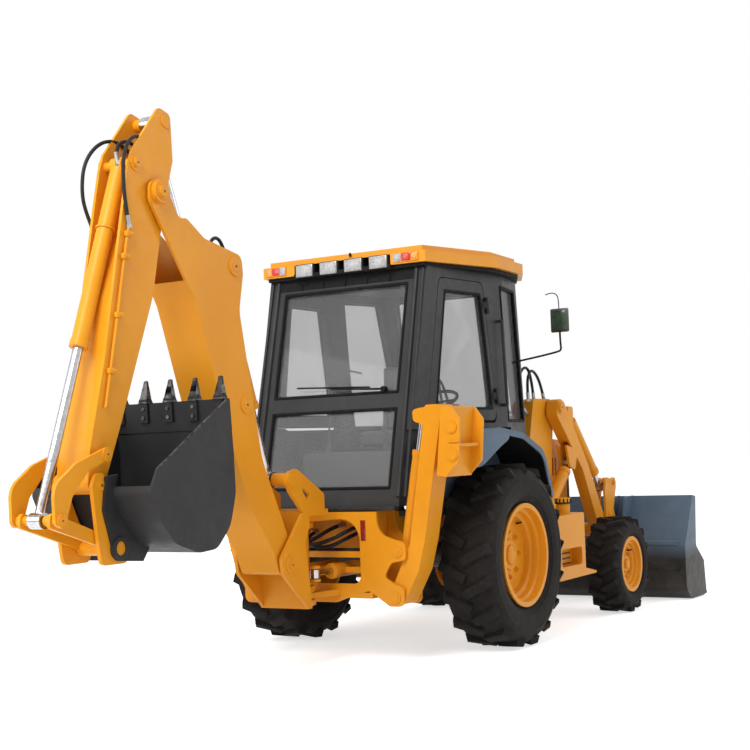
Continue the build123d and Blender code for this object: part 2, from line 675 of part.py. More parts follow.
lift_rod_radius = 28
lift_eye_width = 52
lift_eye_radius = 48
save("lift_barrels", both(barrel(lift_base, lift_eye, 950, arm_mid, 50, lift_rod_radius, lift_eye_radius,
                                 lift_eye_width, small_pin_radius)))
save("lift_rods", both(piston_rod(lift_base, lift_eye, 95, arm_mid, lift_rod_radius, lift_eye_radius, 48)))
tilt_rod_radius = 24
tilt_eye_width = 52
tilt_eye_radius = 44
tilt_barrel_length = distance(tilt_base, lever_rod_pin) - 180
save("tilt_barrels", both(barrel(tilt_base, lever_rod_pin, tilt_barrel_length, arm_mid, 48, tilt_rod_radius,
                                 tilt_eye_radius, tilt_eye_width, tilt_pin_radius, 120)))
save("tilt_rods", both(piston_rod(tilt_base, lever_rod_pin, 285, arm_mid, tilt_rod_radius, 42, 48)))

# Bellcrank levers on the arms and the links to the bucket
lever_in = arm_in - side_gap
lever_out = arm_out + side_gap
link_pin_radius = 26
link_half = 24
link_eye_radius = 46
lever_outline = [(lever_pivot[0] - 60, lever_pivot[1] - 60, 40), (lever_pivot[0] + 60, lever_pivot[1] - 60, 40),
                 (lever_link_pin[0] + 55, lever_link_pin[1] - 40, 40),
                 (lever_link_pin[0] + 50, lever_link_pin[1] + 50, 40),
                 (lever_rod_pin[0] - 20, lever_rod_pin[1] + 60, 40), (lever_rod_pin[0] - 60, lever_rod_pin[1] - 30, 40)]
levers = side_plate(lever_outline, lever_in - plate, lever_in)
levers += side_plate(lever_outline, lever_out, lever_out + plate)
levers += cross_pin(lever_pivot, small_pin_radius, lever_in - plate - 10, lever_out + plate + 10)
levers += cross_pin(lever_link_pin, link_pin_radius, lever_in - plate - 10, lever_out + plate + 10)
save("tilt_levers", both(levers))
link = rod_between((lever_link_pin[0], arm_mid, lever_link_pin[1]),
                   (bucket_link_pin[0], arm_mid, bucket_link_pin[1]), 22)
for centre in (lever_link_pin, bucket_link_pin):
    link += cross_pin(centre, link_eye_radius, arm_mid - link_half, arm_mid + link_half)
link -= cross_pin(lever_link_pin, link_pin_radius + pin_clearance, 0, far)
save("tilt_links", both(link))

# Loader bucket: a bent shell with a cutting edge, side edges and two pairs of brackets
bucket_half = 1190
bucket_side = 20
cutting_edge = 26
bucket_outline = [(3370, 945), (3114, 497, 60), (3120, 110, 120), (3240, 10, 60), (3560, 10), (3668, 22), (3650, 60),
                  (3618, 328, 30), (3413, 483, 60), (3450, 930)]
bucket_hollow = [(3424, 1000), (3137, 497, 50), (3142, 120, 110), (3250, 30, 50), (3800, 30), (3800, 1000)]
bucket = side_plate(bucket_outline, -bucket_half, bucket_half)
bucket -= side_plate(bucket_hollow, -bucket_half + bucket_side, bucket_half - bucket_side)
bucket += side_plate([(3430, 12), (3560, 10), (3668, 22), (3662, 34), (3560, 34 + cutting_edge - 20), (3430, 40)],
                     -bucket_half + 10, bucket_half - 10)
side_edge = side_plate([(3600, 30), (3668, 22), (3650, 60), (3618, 328, 30), (3413, 483, 60), (3450, 930), (3400, 930),
                        (3360, 470, 60), (3570, 300, 30)], bucket_half - 2 * bucket_side, bucket_half - 5)
bucket += side_edge + mirrored(side_edge)
# stiffeners across the back: their height
for z in (300, 520):
    bucket += side_plate([(3116, z - 24), (3102, z - 14), (3106, z + 14), (3122, z + 26), (3140, z)],
                         -bucket_half + 60, bucket_half - 60)
bracket = [(3145, 200), (3160, 497), (3380, 930), (3376, 948), (3168, 945, 60), (3110, 740, 60),
           (bucket_link_pin[0] - 50, bucket_link_pin[1] + 40, 30),
           (bucket_link_pin[0] - 50, bucket_link_pin[1] - 40, 30), (bucket_pivot[0] - 60, bucket_pivot[1] + 40, 30),
           (bucket_pivot[0] - 50, bucket_pivot[1] - 50, 40), (bucket_pivot[0] + 60, bucket_pivot[1] - 60, 30)]
for y0 in (lever_in - plate, lever_out):
    bracket_plate = side_plate(bracket, y0, y0 + plate)
    bucket += bracket_plate + mirrored(bracket_plate)
bucket_pin = cross_pin(bucket_pivot, small_pin_radius, lever_in - plate - 10, lever_out + plate + 10)
bucket += bucket_pin + mirrored(bucket_pin)
save("loader_bucket", bucket)

# Side tanks with their steps and fillers
tank_in = 640
tank_out = 1000
filler = (1165, 880)
filler_radius = 54
tank = side_plate([(750, 902, 20), (1298, 909, 20), (1294, 462), (1512, 420), (1506, 404), (778, 398, 20)],
                  tank_in, tank_out)
tank -= side_plate([(830, 500, 30), (1230, 500, 30), (1230, 640, 30), (830, 640, 30)], tank_out - 90, tank_out + 10)
tank += block(800, 1140, rail_out, tank_in, 640, 700)
tank += upright_pin(filler, filler_radius, 890, 990) + upright_pin(filler, filler_radius + 8, 990, 1030)
save("side_tanks", both(tank))

# Mirrors on arms at the front posts
mirror_foot = (700, 690, 2110)
mirror_elbow = (900, 1030, 2180)
mirror_arm_radius = 10
mirror_arm = rod_between(mirror_foot, mirror_elbow, mirror_arm_radius) + Pos(*mirror_elbow) * Sphere(14)
mirror_arm += rod_between(mirror_elbow, (mirror_elbow[0], mirror_elbow[1], 2345), mirror_arm_radius)
mirror_head = plan_plate([(878, 955, 12), (922, 955, 12), (922, 1108, 12), (878, 1108, 12)], 2338, 2525)
save("mirrors", both(mirror_arm + mirror_head))

# Rear frame of the backhoe: two sheets joined by bars, with ears for the stabilisers
frame_low = 430
frame_top = 1050
box_out = 420
ear_pin_radius = 22
leg_pin_radius = 28
# right half of the rear sheet as y, z, corner radius
wing = [(470, frame_top), (478, 900, 120), (600, 860, 60), (692, 838, 45), (692, 718, 40), (575, 700, 60),
        (515, 600, 30), (612, 545, 15), (668, 532, 30), (668, 400, 48), (552, 400, 40), (395, 505, 60), (210, 450, 80),
        (120, 418, 60)]
main_opening = [(330, 550, 60), (330, 1000, 150), (-330, 1000, 150), (-330, 550, 60)]
rear_frame = rear_plate(wing + [(-y, *rest) for y, *rest in reversed(wing)], rear_face, rear_face + plate)
rear_frame -= rear_plate(main_opening, rear_face - 10, rear_face + plate + 10)
inner_wing = [(box_out - 2 * plate, frame_top)] + wing[:-3] + [(box_out - 2 * plate, 505)]
leg_sheet = rear_plate(inner_wing, front_sheet, front_sheet + plate)
leg_sheet += block(rear_face, front_sheet + plate, box_out - plate, box_out, frame_low + 60, frame_top)
rear_frame += leg_sheet + mirrored(leg_sheet)
# bars between the side walls: from x, to x, low, high
for x0, x1, z0, z1 in ((front_sheet, front_sheet + plate, 780, frame_top),
                       (rear_face, front_sheet + plate, frame_top - 40, frame_top),
                       (rear_face, front_sheet + plate, 450, 490), (-1010, -970, 728, 770)):
    rear_frame += block(x0, x1, -box_out, box_out, z0, z1)
bearing_radius = 95
bearing_plate = 40
bearing_root = 160
king_radius = 45
upper_bearing = 1000
lower_bearing = 470
for level in (lower_bearing, upper_bearing):
    rear_frame += plan_plate([(rear_face + 10, -bearing_root), (rear_face + 10, bearing_root),
                              (swing_axis_x, bearing_radius), (swing_axis_x, -bearing_radius)],
                             level, level + bearing_plate)
    rear_frame += upright_pin((swing_axis_x, 0), bearing_radius, level, level + bearing_plate)
    rear_frame -= upright_pin((swing_axis_x, 0), king_radius + pin_clearance, level - 10, level + bearing_plate + 10)

swing_lever = 110
swing_level = 640
swing_gland_x = -1110
swing_barrel_length = 420
swing_barrel_radius = 50
swing_rod_radius = 22
swing_eye_radius = 38
swing_eye_half = 28
swing_bar_half = 20
for side, word in sides:
    swing_barrel = rod_between((swing_gland_x, side * swing_lever, swing_level),
                               (swing_gland_x + swing_barrel_length, side * swing_lever, swing_level),
                               swing_barrel_radius)
    swing_barrel += rod_between((swing_gland_x, side * swing_lever, swing_level),
                                (swing_gland_x + gland_length, side * swing_lever, swing_level),
                                swing_barrel_radius + gland_step)
    swing_barrel -= rod_between((swing_gland_x - 10, side * swing_lever, swing_level),
                                (swing_gland_x + swing_barrel_length - bore_floor, side * swing_lever, swing_level),
                                swing_rod_radius + pin_clearance)
    rear_frame += swing_barrel
    # trunnion bars from the barrel to the side wall and to the middle
    for y0, y1 in ((swing_lever + 40, box_out - 10), (0, swing_lever - 40)):
        rear_frame += on_side(block(-1000, -940, y0, y1, swing_level - swing_bar_half, swing_level + swing_bar_half),
                              side)
    # stabiliser pins, and round bosses where they end
    for pivot, radius, boss in ((leg_pivot, leg_pin_radius, 42), (leg_cylinder_base, ear_pin_radius, 36)):
        rear_frame += along_pin((side * pivot[0], pivot[1]), radius, rear_face - 12, front_sheet + plate + 12)
        rear_frame += along_pin((side * pivot[0], pivot[1]), boss, rear_face - 8, rear_face + 10)
save("rear_frame", rear_frame)

# Stabilisers: a box leg, its pad with flanges, a rib and bosses, and the cylinder between leg and frame
leg_back = leg_x - leg_depth / 2
leg_front = leg_x + leg_depth / 2
pad_half = 180
pad_flange = 20
pad_boss = (1108, 1610)
pad_boss_radius = 42
leg_eye_half = 40
leg_rod_radius = 22
leg_outline = [(545, 430, 30), (640, 405, 30), (770, 640), (830, 857), (1000, 1770, 40), (870, 1770, 20),
               (712, 830), (560, 520, 30)]
leg_ear = [(760, 1660, 30), (800, 1650), (880, 1600), (890, 1760), (800, 1750, 40), (755, 1740, 30)]
pad_plate = [(985, 1290), (1060, 1280), (1110, 1745), (1035, 1755)]
pad_rib = [(1060, 1470), (1140, 1480), (1142, 1500), (1060, 1500)]
pad_flange_outline = [(1050, 1280), (1150, 1380, 40), (1172, 1660, 40), (1110, 1745)]
pad_neck = [(880, 1400), (1030, 1400), (1050, 1700), (920, 1700)]


def on_leg(along):
    """A point of the stabiliser cylinder's line, in the machine's frame."""
    return (leg_x, *ahead(leg_cylinder_base, leg_cylinder_eye, along))


leg = rear_plate(leg_outline, leg_back, leg_front)
leg -= along_pin(leg_pivot, leg_pin_radius + pin_clearance, leg_back - 10, leg_front + 10)
for x in (leg_x - 72, leg_x + 50):
    leg += rear_plate(leg_ear, x, x + 22)
for pad_outline in (pad_plate, pad_rib):
    leg += rear_plate(pad_outline, leg_x - pad_half, leg_x + pad_half)
leg += rear_plate(pad_neck, leg_x - 60, leg_x + 60)
for x, outer in ((leg_x - pad_half, leg_x - pad_half - 8), (leg_x + pad_half - pad_flange, leg_x + pad_half + 8)):
    leg += rear_plate(pad_flange_outline, x, x + pad_flange)
    leg += along_pin(pad_boss, pad_boss_radius, min(x, outer), max(x, outer))
leg_barrel = rod_between(on_leg(25), on_leg(700), 40) + rod_between(on_leg(700 - gland_length), on_leg(700), 44)
leg_barrel += along_pin(leg_cylinder_base, 46, leg_x - leg_eye_half, leg_x + leg_eye_half)
leg_barrel -= rod_between(on_leg(70), on_leg(710), leg_rod_radius + pin_clearance)
leg_barrel -= along_pin(leg_cylinder_base, ear_pin_radius + pin_clearance, leg_back, leg_front)
leg_rod = rod_between(on_leg(120), on_leg(distance(leg_cylinder_base, leg_cylinder_eye)), leg_rod_radius)
leg_rod += along_pin(leg_cylinder_eye, 36, leg_x - leg_eye_half, leg_x + leg_eye_half)
for side, word in sides:
    for name, piece in (("stabiliser", leg), ("stabiliser_barrel", leg_barrel), ("stabiliser_rod", leg_rod)):
        save(f"{word}_{name}", on_side(piece, side))

# Swing post: a casting open towards the frame, two forks on the kingpin, the boom's foot and the ears above it
post_in = 170
post_out = 195
post_web_x = -1530
fork_gap = 6
fork_plate = 40
boss_reach = 12
fork_low = lower_bearing - fork_gap - fork_plate
fork_high = upper_bearing + bearing_plate + fork_gap + fork_plate
post_outline = [(-1485, fork_high), (-1485, 985), (-1542, 880, 60), (-1500, 540, 40), (-1490, fork_low),
                (-1530, fork_low, 40), (-1815, 680, 60), (-1830, 790, 60), (-1540, 1090, 60)]
ear_outline = [(-1290, fork_high - 20), (-1290, 1190, 30), (-1615, 1372, 30), (-1712, 1352, 40), (-1748, 1290, 40),
               (-1700, 1215, 40), (-1540, 1060, 30)]
ear_hole = [(-1605, 1275, 12), (-1470, 1195, 12), (-1484, 1135, 12)]
post_side = side_plate(post_outline, post_in, post_out)
post_side += side_plate(ear_outline, post_in, post_out) - side_plate(ear_hole, post_in - 10, post_out + 10)
post = post_side + mirrored(post_side)
post += block(post_web_x - plate, post_web_x, -post_in, post_in, 460, fork_high)
post += block(post_web_x - plate, -1250, -post_out, post_out, fork_high - fork_plate, fork_high)
for level in (fork_low, lower_bearing + bearing_plate + fork_gap, upper_bearing - fork_gap - fork_plate,
              fork_high - fork_plate):
    post += plan_plate([(post_web_x - 10, -post_out), (post_web_x - 10, post_out), (swing_axis_x, bearing_radius),
                        (swing_axis_x, -bearing_radius)], level, level + fork_plate)
    post += upright_pin((swing_axis_x, 0), bearing_radius, level, level + fork_plate)
for level in (lower_bearing, upper_bearing):
    post += upright_pin((swing_axis_x, 0), king_radius, level - fork_gap, level + bearing_plate + fork_gap)
post += upright_pin((swing_axis_x, 0), 60, lower_bearing + 60, upper_bearing - 20)
for level in (swing_level - 55, swing_level + 35):
    post += plan_plate([(swing_axis_x - 40, -swing_lever - 40, 35), (swing_axis_x + 40, -swing_lever - 40, 35),
                        (swing_axis_x + 40, swing_lever + 40, 35), (swing_axis_x - 40, swing_lever + 40, 35)],
                       level, level + 20)
foot_pin_radius = 35
boom_eye_half = 52
post += cross_pin(boom_foot, foot_pin_radius, -post_out - boss_reach, post_out + boss_reach)
for side, word in sides:
    post += cross_pin(boom_foot, 62, side * post_out, side * (post_out + 6))
    post += cross_pin(post_pin, 45, side * (boom_eye_half + 10), side * (post_out + boss_reach))
save("swing_post", post)
for side, word in sides:
    swing_rod = rod_between((swing_axis_x, side * swing_lever, swing_level),
                            (swing_gland_x + 270, side * swing_lever, swing_level), swing_rod_radius)
    swing_rod += upright_pin((swing_axis_x, side * swing_lever), swing_eye_radius, swing_level - swing_eye_half,
                             swing_level + swing_eye_half)
    save(f"swing_rod_{word}", swing_rod)

# Boom: side plates, a back plate and a closed foot; its front is an open channel round the cylinder
boom_half = 155
boom_wall = 20
knee_pin_radius = 40
dipper_base_radius = 38
tip_pin_radius = 38
boss_height = 10
boom_outline = [(-1645, 695, 60), (-1795, 665, 60), (-1868, 840, 200), (-2095, 1125, 300), (-2300, 1600, 600),
                (-2600, 2444, 400), (-3000, 3010, 60), (-3000, 3120, 60), (-2880, 3170, 60), (-2730, 2930, 60),
                (-2661, 2945, 60), (-2486, 2836, 60), (-2100, 2760, 60), (-2090, 2640, 60), (-2145, 2403, 200),
                (-1955, 1450, 500), (-1645, 830, 60)]
boom_channel = [(-1600, 1720), (-2322, 1720, 30), (-2585, 2470), (-2640, 2560), (-2800, 2560), (-3200, 2900),
                (-3200, 3300), (-2000, 3300), (-1600, 2900)]
boom = side_plate(boom_outline, -boom_half, boom_half)
boom -= side_plate(boom_channel, -boom_half + boom_wall, boom_half - boom_wall)
boom -= cross_pin(boom_foot, foot_pin_radius + pin_clearance, -far, far)
for pivot, radius, boss in ((boom_knee, knee_pin_radius, 62), (dipper_base, dipper_base_radius, 58)):
    boom += cross_pin(pivot, radius, -boom_half - boss_height, boom_half + boss_height)
    for side, word in sides:
        boom += cross_pin(pivot, boss, side * (boom_half - boom_wall), side * (boom_half + boss_height))
boom += cross_pin(boom_tip, tip_pin_radius, -boom_half - 45, boom_half + 45)
for side, word in sides:
    boom += cross_pin(boom_tip, 70, side * (boom_half - boom_wall), side * (boom_half + 30))
save("boom", boom)
boom_rod_radius = 36
save("boom_barrel", barrel(boom_knee, post_pin, 960, 0, 60, boom_rod_radius, 62, 2 * boom_eye_half, knee_pin_radius))
save("boom_rod", piston_rod(boom_knee, post_pin, 100, 0, boom_rod_radius, 55, 2 * boom_eye_half))

# Dipper with its cylinder, and the bucket's cylinder in front of it
dipper_half = 120
dipper_wall = 18
dipper_eye_half = 45
guide_pin_radius = 28
digging_pin_radius = 32
bucket_base_radius = 30
dipper_outline = [(-2740, 3570, 40), (-2850, 3600, 40), (-3110, 3300, 50), (-3150, 3200, 50), (-3200, 3000),
                  (-3420, 2053, 400), (-3570, 1540, 60), (-3600, 1330, 60), (-3520, 1270, 60), (-3455, 1345, 40),
                  (-3286, 1710, 400), (-2965, 2448, 400), (-2830, 3000, 100), (-2730, 3290, 60)]
dipper_channel = [(-3500, 2300), (-3385, 2300), (-3025, 3130), (-2980, 3170), (-2600, 3170), (-2600, 3700),
                  (-3500, 3700)]
dipper = side_plate(dipper_outline, -dipper_half, dipper_half)
dipper -= side_plate(dipper_channel, -dipper_half + dipper_wall, dipper_half - dipper_wall)
dipper_pins = ((boom_tip, tip_pin_radius), (guide_pivot, guide_pin_radius), (digging_pivot, digging_pin_radius))
for pivot, radius in dipper_pins:
    dipper -= cross_pin(pivot, radius + pin_clearance, -far, far)
dipper += cross_pin(bucket_base, bucket_base_radius, -dipper_half - 20, dipper_half + 20)
for side, word in sides:
    dipper += cross_pin(bucket_base, 50, side * (dipper_half - dipper_wall), side * (dipper_half + 8))
    dipper += cross_pin(dipper_top, 40, side * (dipper_eye_half + 10), side * (dipper_half + 8))
save("dipper", dipper)
dipper_rod_radius = 33
save("dipper_barrel", barrel(dipper_base, dipper_top, 1000, 0, 55, dipper_rod_radius, 55, 2 * dipper_eye_half,
                             dipper_base_radius))
save("dipper_rod", piston_rod(dipper_base, dipper_top, 860, 0, dipper_rod_radius, 48, 2 * dipper_eye_half))
bucket_rod_radius = 30
save("bucket_barrel", barrel(bucket_base, link_pin, 1180, 0, 50, bucket_rod_radius, 48, 2 * dipper_eye_half,
                             bucket_base_radius))
save("bucket_rod", piston_rod(bucket_base, link_pin, 955, 0, bucket_rod_radius, 46, 2 * dipper_eye_half))

# Bucket linkage: curved guide links on the dipper, and a link to the hitch
guide_in = 150
guide_out = 172
guide_outline = [(guide_pivot[0] + 45, guide_pivot[1] - 20, 30), (guide_pivot[0] + 20, guide_pivot[1] + 45, 30),
                 (-3744, 1470, 60), (-3925, 1349, 120), (link_pin[0] - 50, link_pin[1] - 20, 30),
                 (link_pin[0] + 20, link_pin[1] - 50, 30), (-3780, 1290, 40), (-3640, 1430, 60)]
guide = side_plate(guide_outline, guide_in, guide_out)
for pivot in (guide_pivot, link_pin):
    guide += cross_pin(pivot, 40, guide_out - 4, guide_out + 8)
guide += cross_pin(link_pin, guide_pin_radius, dipper_eye_half + 10, guide_out)
save("guide_links", guide + mirrored(guide) + cross_pin(guide_pivot, guide_pin_radius, -guide_out, guide_out))
link_in = 98
link_out = 124
hitch_pin_radius = 42
link_plate = side_plate([(link_pin[0] - 50, link_pin[1] - 35, 30), (link_pin[0] - 30, link_pin[1] + 50, 30),
                         (digging_link_pin[0] + 20, digging_link_pin[1] + 48, 30),
                         (digging_link_pin[0] + 45, digging_link_pin[1] - 30, 30)], link_in, link_out)
bucket_link = link_plate + mirrored(link_plate)
bucket_link -= cross_pin(link_pin, guide_pin_radius + pin_clearance, -far, far)
save("bucket_link", bucket_link + cross_pin(digging_link_pin, hitch_pin_radius, -link_out, link_out))

# Quick hitch between the linkage and the bucket's ears
hitch_in = 130
hitch_out = 156
hitch = side_plate([(-3600, 1342, 60), (-3560, 1415, 50), (-3490, 1410, 40), (-3480, 1290), (-3405, 1125),
                    (-3290, 1000, 20), (-3330, 890, 40), (-3540, 890, 40), (-3560, 1000, 40)], hitch_in, hitch_out)
hitch += cross_pin(digging_link_pin, hitch_pin_radius, link_out + side_gap, hitch_out + 20)
save("quick_hitch", hitch + mirrored(hitch) + cross_pin(digging_pivot, digging_pin_radius, -hitch_out, hitch_out))

# Digging bucket: a rolled shell with a lip, five pointed teeth on adapters and two ears
digging_half = 450
digging_shell = 16
ear_thickness = 20
tooth_count = 5
tooth_pitch = 194
digging_outline = [(-3384, 1419), (-3458, 1290, 40), (-3385, 1142, 200), (-3246, 993, 150), (-3036, 925, 150),
                   (-2860, 935, 120), (-2720, 1060, 200), (-2655, 1256, 200), (-2662, 1495), (-2685, 1819),
                   (-2710, 1812), (-2992, 1648, 200)]
digging_hollow = [(-3450, 1460), (-3430, 1290, 30), (-3368, 1152, 190), (-3236, 1008, 140), (-3036, 941, 140),
                  (-2868, 950, 110), (-2735, 1068, 190), (-2671, 1258, 190), (-2678, 1495), (-2701, 1830),
                  (-2900, 2000), (-3500, 1700)]
lip_outline = [(-2664, 1640), (-2676, 1822), (-2708, 1822), (-2696, 1640)]
adapter_outline = [(-2662, 1700), (-2668, 1840), (-2684, 1858), (-2708, 1856), (-2722, 1840), (-2716, 1700)]
tooth_root = (-2695, 1840)
tooth_tip = (-2681, 1960)
digging_ear = [(-3400, 1400), (-3440, 1290), (-3370, 1142), (-3240, 1003), (-3150, 960), (-3208, 890),
               (-3440, 910, 40), (-3530, 1200, 60), (-3500, 1390)]
digging = side_plate(digging_outline, -digging_half, digging_half)
digging -= side_plate(digging_hollow, -digging_half + digging_shell, digging_half - digging_shell)
digging += side_plate(lip_outline, -digging_half + 5, digging_half - 5)
tooth_way = Vector(tooth_tip[0] - tooth_root[0], 0, tooth_tip[1] - tooth_root[1])
for index in range(tooth_count):
    y = (index - (tooth_count - 1) / 2) * tooth_pitch
    y = max(-digging_half + 32, min(digging_half - 32, y))
    root = Plane(origin=(tooth_root[0], y, tooth_root[1]), x_dir=(0, 1, 0), z_dir=tooth_way) * Rectangle(52, 40)
    tip = Plane(origin=(tooth_tip[0], y, tooth_tip[1]), x_dir=(0, 1, 0), z_dir=tooth_way) * Rectangle(30, 6)
    digging += side_plate(adapter_outline, y - 32, y + 32) + loft([root, tip], ruled=True)
for side, word in sides:
    digging += on_side(side_plate(digging_ear, hitch_out, hitch_out + ear_thickness), side)
    digging += cross_pin(digging_link_pin, 66, side * hitch_out, side * (hitch_out + ear_thickness + 10))
digging -= cross_pin(digging_link_pin, hitch_pin_radius, -hitch_out - 40, hitch_out + 40)
save("digging_bucket", digging)
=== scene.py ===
import json
from math import cos, pi, radians, sin, sqrt

import bmesh
import bpy
from mathutils import Matrix, Vector


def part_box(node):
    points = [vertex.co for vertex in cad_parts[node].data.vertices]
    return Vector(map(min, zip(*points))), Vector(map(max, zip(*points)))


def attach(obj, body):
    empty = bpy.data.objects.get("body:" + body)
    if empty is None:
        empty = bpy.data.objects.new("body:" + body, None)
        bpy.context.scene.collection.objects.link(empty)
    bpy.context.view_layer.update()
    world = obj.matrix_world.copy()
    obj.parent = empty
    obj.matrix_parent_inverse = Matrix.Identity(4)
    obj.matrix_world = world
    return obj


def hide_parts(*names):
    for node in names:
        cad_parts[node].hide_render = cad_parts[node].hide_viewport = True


# Backhoe loader, metres: +X forward to the loader, +Y left, +Z up, origin on the ground
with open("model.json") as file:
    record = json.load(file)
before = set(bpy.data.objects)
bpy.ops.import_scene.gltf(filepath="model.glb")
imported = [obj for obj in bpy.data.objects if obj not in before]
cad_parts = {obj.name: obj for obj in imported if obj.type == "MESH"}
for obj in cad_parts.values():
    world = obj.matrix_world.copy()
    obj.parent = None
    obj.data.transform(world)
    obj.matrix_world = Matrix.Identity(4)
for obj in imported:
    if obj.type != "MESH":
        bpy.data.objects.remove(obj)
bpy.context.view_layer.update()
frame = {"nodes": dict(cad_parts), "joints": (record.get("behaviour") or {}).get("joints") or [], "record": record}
nodes = frame["nodes"]
print("frame loaded:", len(nodes), "nodes")
scene = bpy.context.scene

# The joints' pivots, so that pins and hoses start where the machine turns
pivots = {joint["name"]: Vector(joint["pos_m"]) for joint in frame["joints"] if joint.get("pos_m")}
sides = ((1, "left"), (-1, "right"))

camera = {
    "place": (-9.558, -5.643, 1.503),
    "right": (0.5531626, -0.83218379, -0.03848738),
    "up": (0.00649883, -0.04188723, 0.99910121),
    "ahead": (0.83304796, 0.55291554, 0.01776222),
    "lens": 69.89,
    "sensor": 36.0,
    "shift": (0.09283, 0.06385),
}


def addCamera():
    data = bpy.data.cameras.new("camera")
    data.sensor_width = camera["sensor"]
    data.lens = camera["lens"]
    data.shift_x, data.shift_y = camera["shift"]
    data.clip_end = 200
    body = bpy.data.objects.new("camera", data)
    scene.collection.objects.link(body)
    axes = Matrix((camera["right"], camera["up"], [-value for value in camera["ahead"]])).transposed()
    body.matrix_world = Matrix.Translation(camera["place"]) @ axes.to_4x4()
    scene.camera = body


addCamera()
print("camera placed")


# A material with its shader, its node tree and the object's own coordinates
def startMaterial(name, roughness, metallic=0.0):
    material = bpy.data.materials.new(name)
    material.use_nodes = True
    tree = material.node_tree
    shader = tree.nodes["Principled BSDF"]
    shader.inputs["Roughness"].default_value = roughness
    shader.inputs["Metallic"].default_value = metallic
    coords = tree.nodes.new("ShaderNodeTexCoord")
    return material, tree, shader, coords.outputs["Object"]


def noiseNode(tree, coords, scale, detail=4.0, rough=0.55):
    noise = tree.nodes.new("ShaderNodeTexNoise")
    noise.inputs["Scale"].default_value = scale
    noise.inputs["Detail"].default_value = detail
    noise.inputs["Roughness"].default_value = rough
    tree.links.new(coords, noise.inputs["Vector"])
    return noise.outputs["Fac"]


# Stops are (position, colour); the value picks its place between them
def rampNode(tree, value, stops):
    ramp = tree.nodes.new("ShaderNodeValToRGB")
    tree.links.new(value, ramp.inputs["Fac"])
    elements = ramp.color_ramp.elements
    elements[0].position, elements[0].color = stops[0][0], (*stops[0][1], 1)
    elements[1].position, elements[1].color = stops[-1][0], (*stops[-1][1], 1)
    for place, colour in stops[1:-1]:
        elements.new(place).color = (*colour, 1)
    return ramp.outputs["Color"]


def rampInto(tree, value, stops, socket):
    tree.links.new(rampNode(tree, value, stops), socket)


def mixNode(tree, share, first, second):
    mix = tree.nodes.new("ShaderNodeMix")
    mix.data_type = "RGBA"
    tree.links.new(share, mix.inputs["Factor"])
    for colour, socket in ((first, mix.inputs["A"]), (second, mix.inputs["B"])):
        if isinstance(colour, tuple):
            socket.default_value = (*colour, 1)
        else:
            tree.links.new(colour, socket)
    return mix.outputs["Result"]


# Values are sockets or numbers
def mathNode(tree, operation, *values):
    node = tree.nodes.new("ShaderNodeMath")
    node.operation = operation
    for value, socket in zip(values, node.inputs):
        if isinstance(value, float):
            socket.default_value = value
        else:
            tree.links.new(value, socket)
    return node.outputs[0]


def bumpNode(tree, shader, height, strength, distance):
    bump = tree.nodes.new("ShaderNodeBump")
    bump.inputs["Strength"].default_value = strength
    bump.inputs["Distance"].default_value = distance
    tree.links.new(height, bump.inputs["Height"])
    tree.links.new(bump.outputs["Normal"], shader.inputs["Normal"])


# How high a point is, from 0 at low to 1 at high
def heightShare(tree, coords, low, high):
    split = tree.nodes.new("ShaderNodeSeparateXYZ")
    tree.links.new(coords, split.inputs["Vector"])
    share = tree.nodes.new("ShaderNodeMapRange")
    share.inputs["From Min"].default_value = low
    share.inputs["From Max"].default_value = high
    tree.links.new(split.outputs["Z"], share.inputs["Value"])
    return share.outputs["Result"]


# Paint with cloudy colour, an orange-peel surface, uneven gloss, and road dust low down
def paintedMetal(name, colour, deep, roughness, peel=0.05, dustTop=0.9, dust=(0.30, 0.24, 0.17), dustShare=0.25,
                 shine=0.3, coat=0.1):
    material, tree, shader, coords = startMaterial(name, roughness)
    cloud = noiseNode(tree, coords, 2.2, 5)
    paint = rampNode(tree, cloud, [(0.3, deep), (0.7, colour)])
    grime = noiseNode(tree, coords, 9, 8, 0.7)
    low = heightShare(tree, coords, dustTop, 0.1)
    patches = rampNode(tree, grime, [(0.42, (0, 0, 0)), (0.75, (dustShare,) * 3)])
    amount = mathNode(tree, "MULTIPLY", low, patches)
    tree.links.new(mixNode(tree, amount, paint, dust), shader.inputs["Base Color"])
    gloss = [(0.3, (roughness - 0.06,) * 3), (0.7, (roughness + 0.08,) * 3)]
    rampInto(tree, noiseNode(tree, coords, 14, 3), gloss, shader.inputs["Roughness"])
    bumpNode(tree, shader, noiseNode(tree, coords, 260, 2), peel, 0.002)
    shader.inputs["Specular IOR Level"].default_value = shine
    shader.inputs["Coat Weight"].default_value = coat
    shader.inputs["Coat Roughness"].default_value = 0.25
    return material


def slatePaint():
    material = paintedMetal("slatePaint", (0.120, 0.174, 0.243), (0.097, 0.143, 0.205), 0.46, 0.05, shine=0.12)
    tree = material.node_tree
    shader = tree.nodes["Principled BSDF"]
    coords = next(node for node in tree.nodes if node.type == "TEX_COORD").outputs["Object"]
    # the bucket's belly is scoured to bare, soiled metal
    scour = noiseNode(tree, coords, 5, 8, 0.7)
    low = heightShare(tree, coords, 0.52, 0.36)
    ragged = rampNode(tree, scour, [(0.3, (-0.4, -0.4, -0.4)), (0.7, (0.25, 0.25, 0.25))])
    paint = shader.inputs["Base Color"].links[0].from_socket
    bare = rampNode(tree, scour, [(0.3, (0.022, 0.021, 0.019)), (0.7, (0.060, 0.055, 0.049))])
    tree.links.new(mixNode(tree, mathNode(tree, "ADD", low, ragged), paint, bare), shader.inputs["Base Color"])
    return material


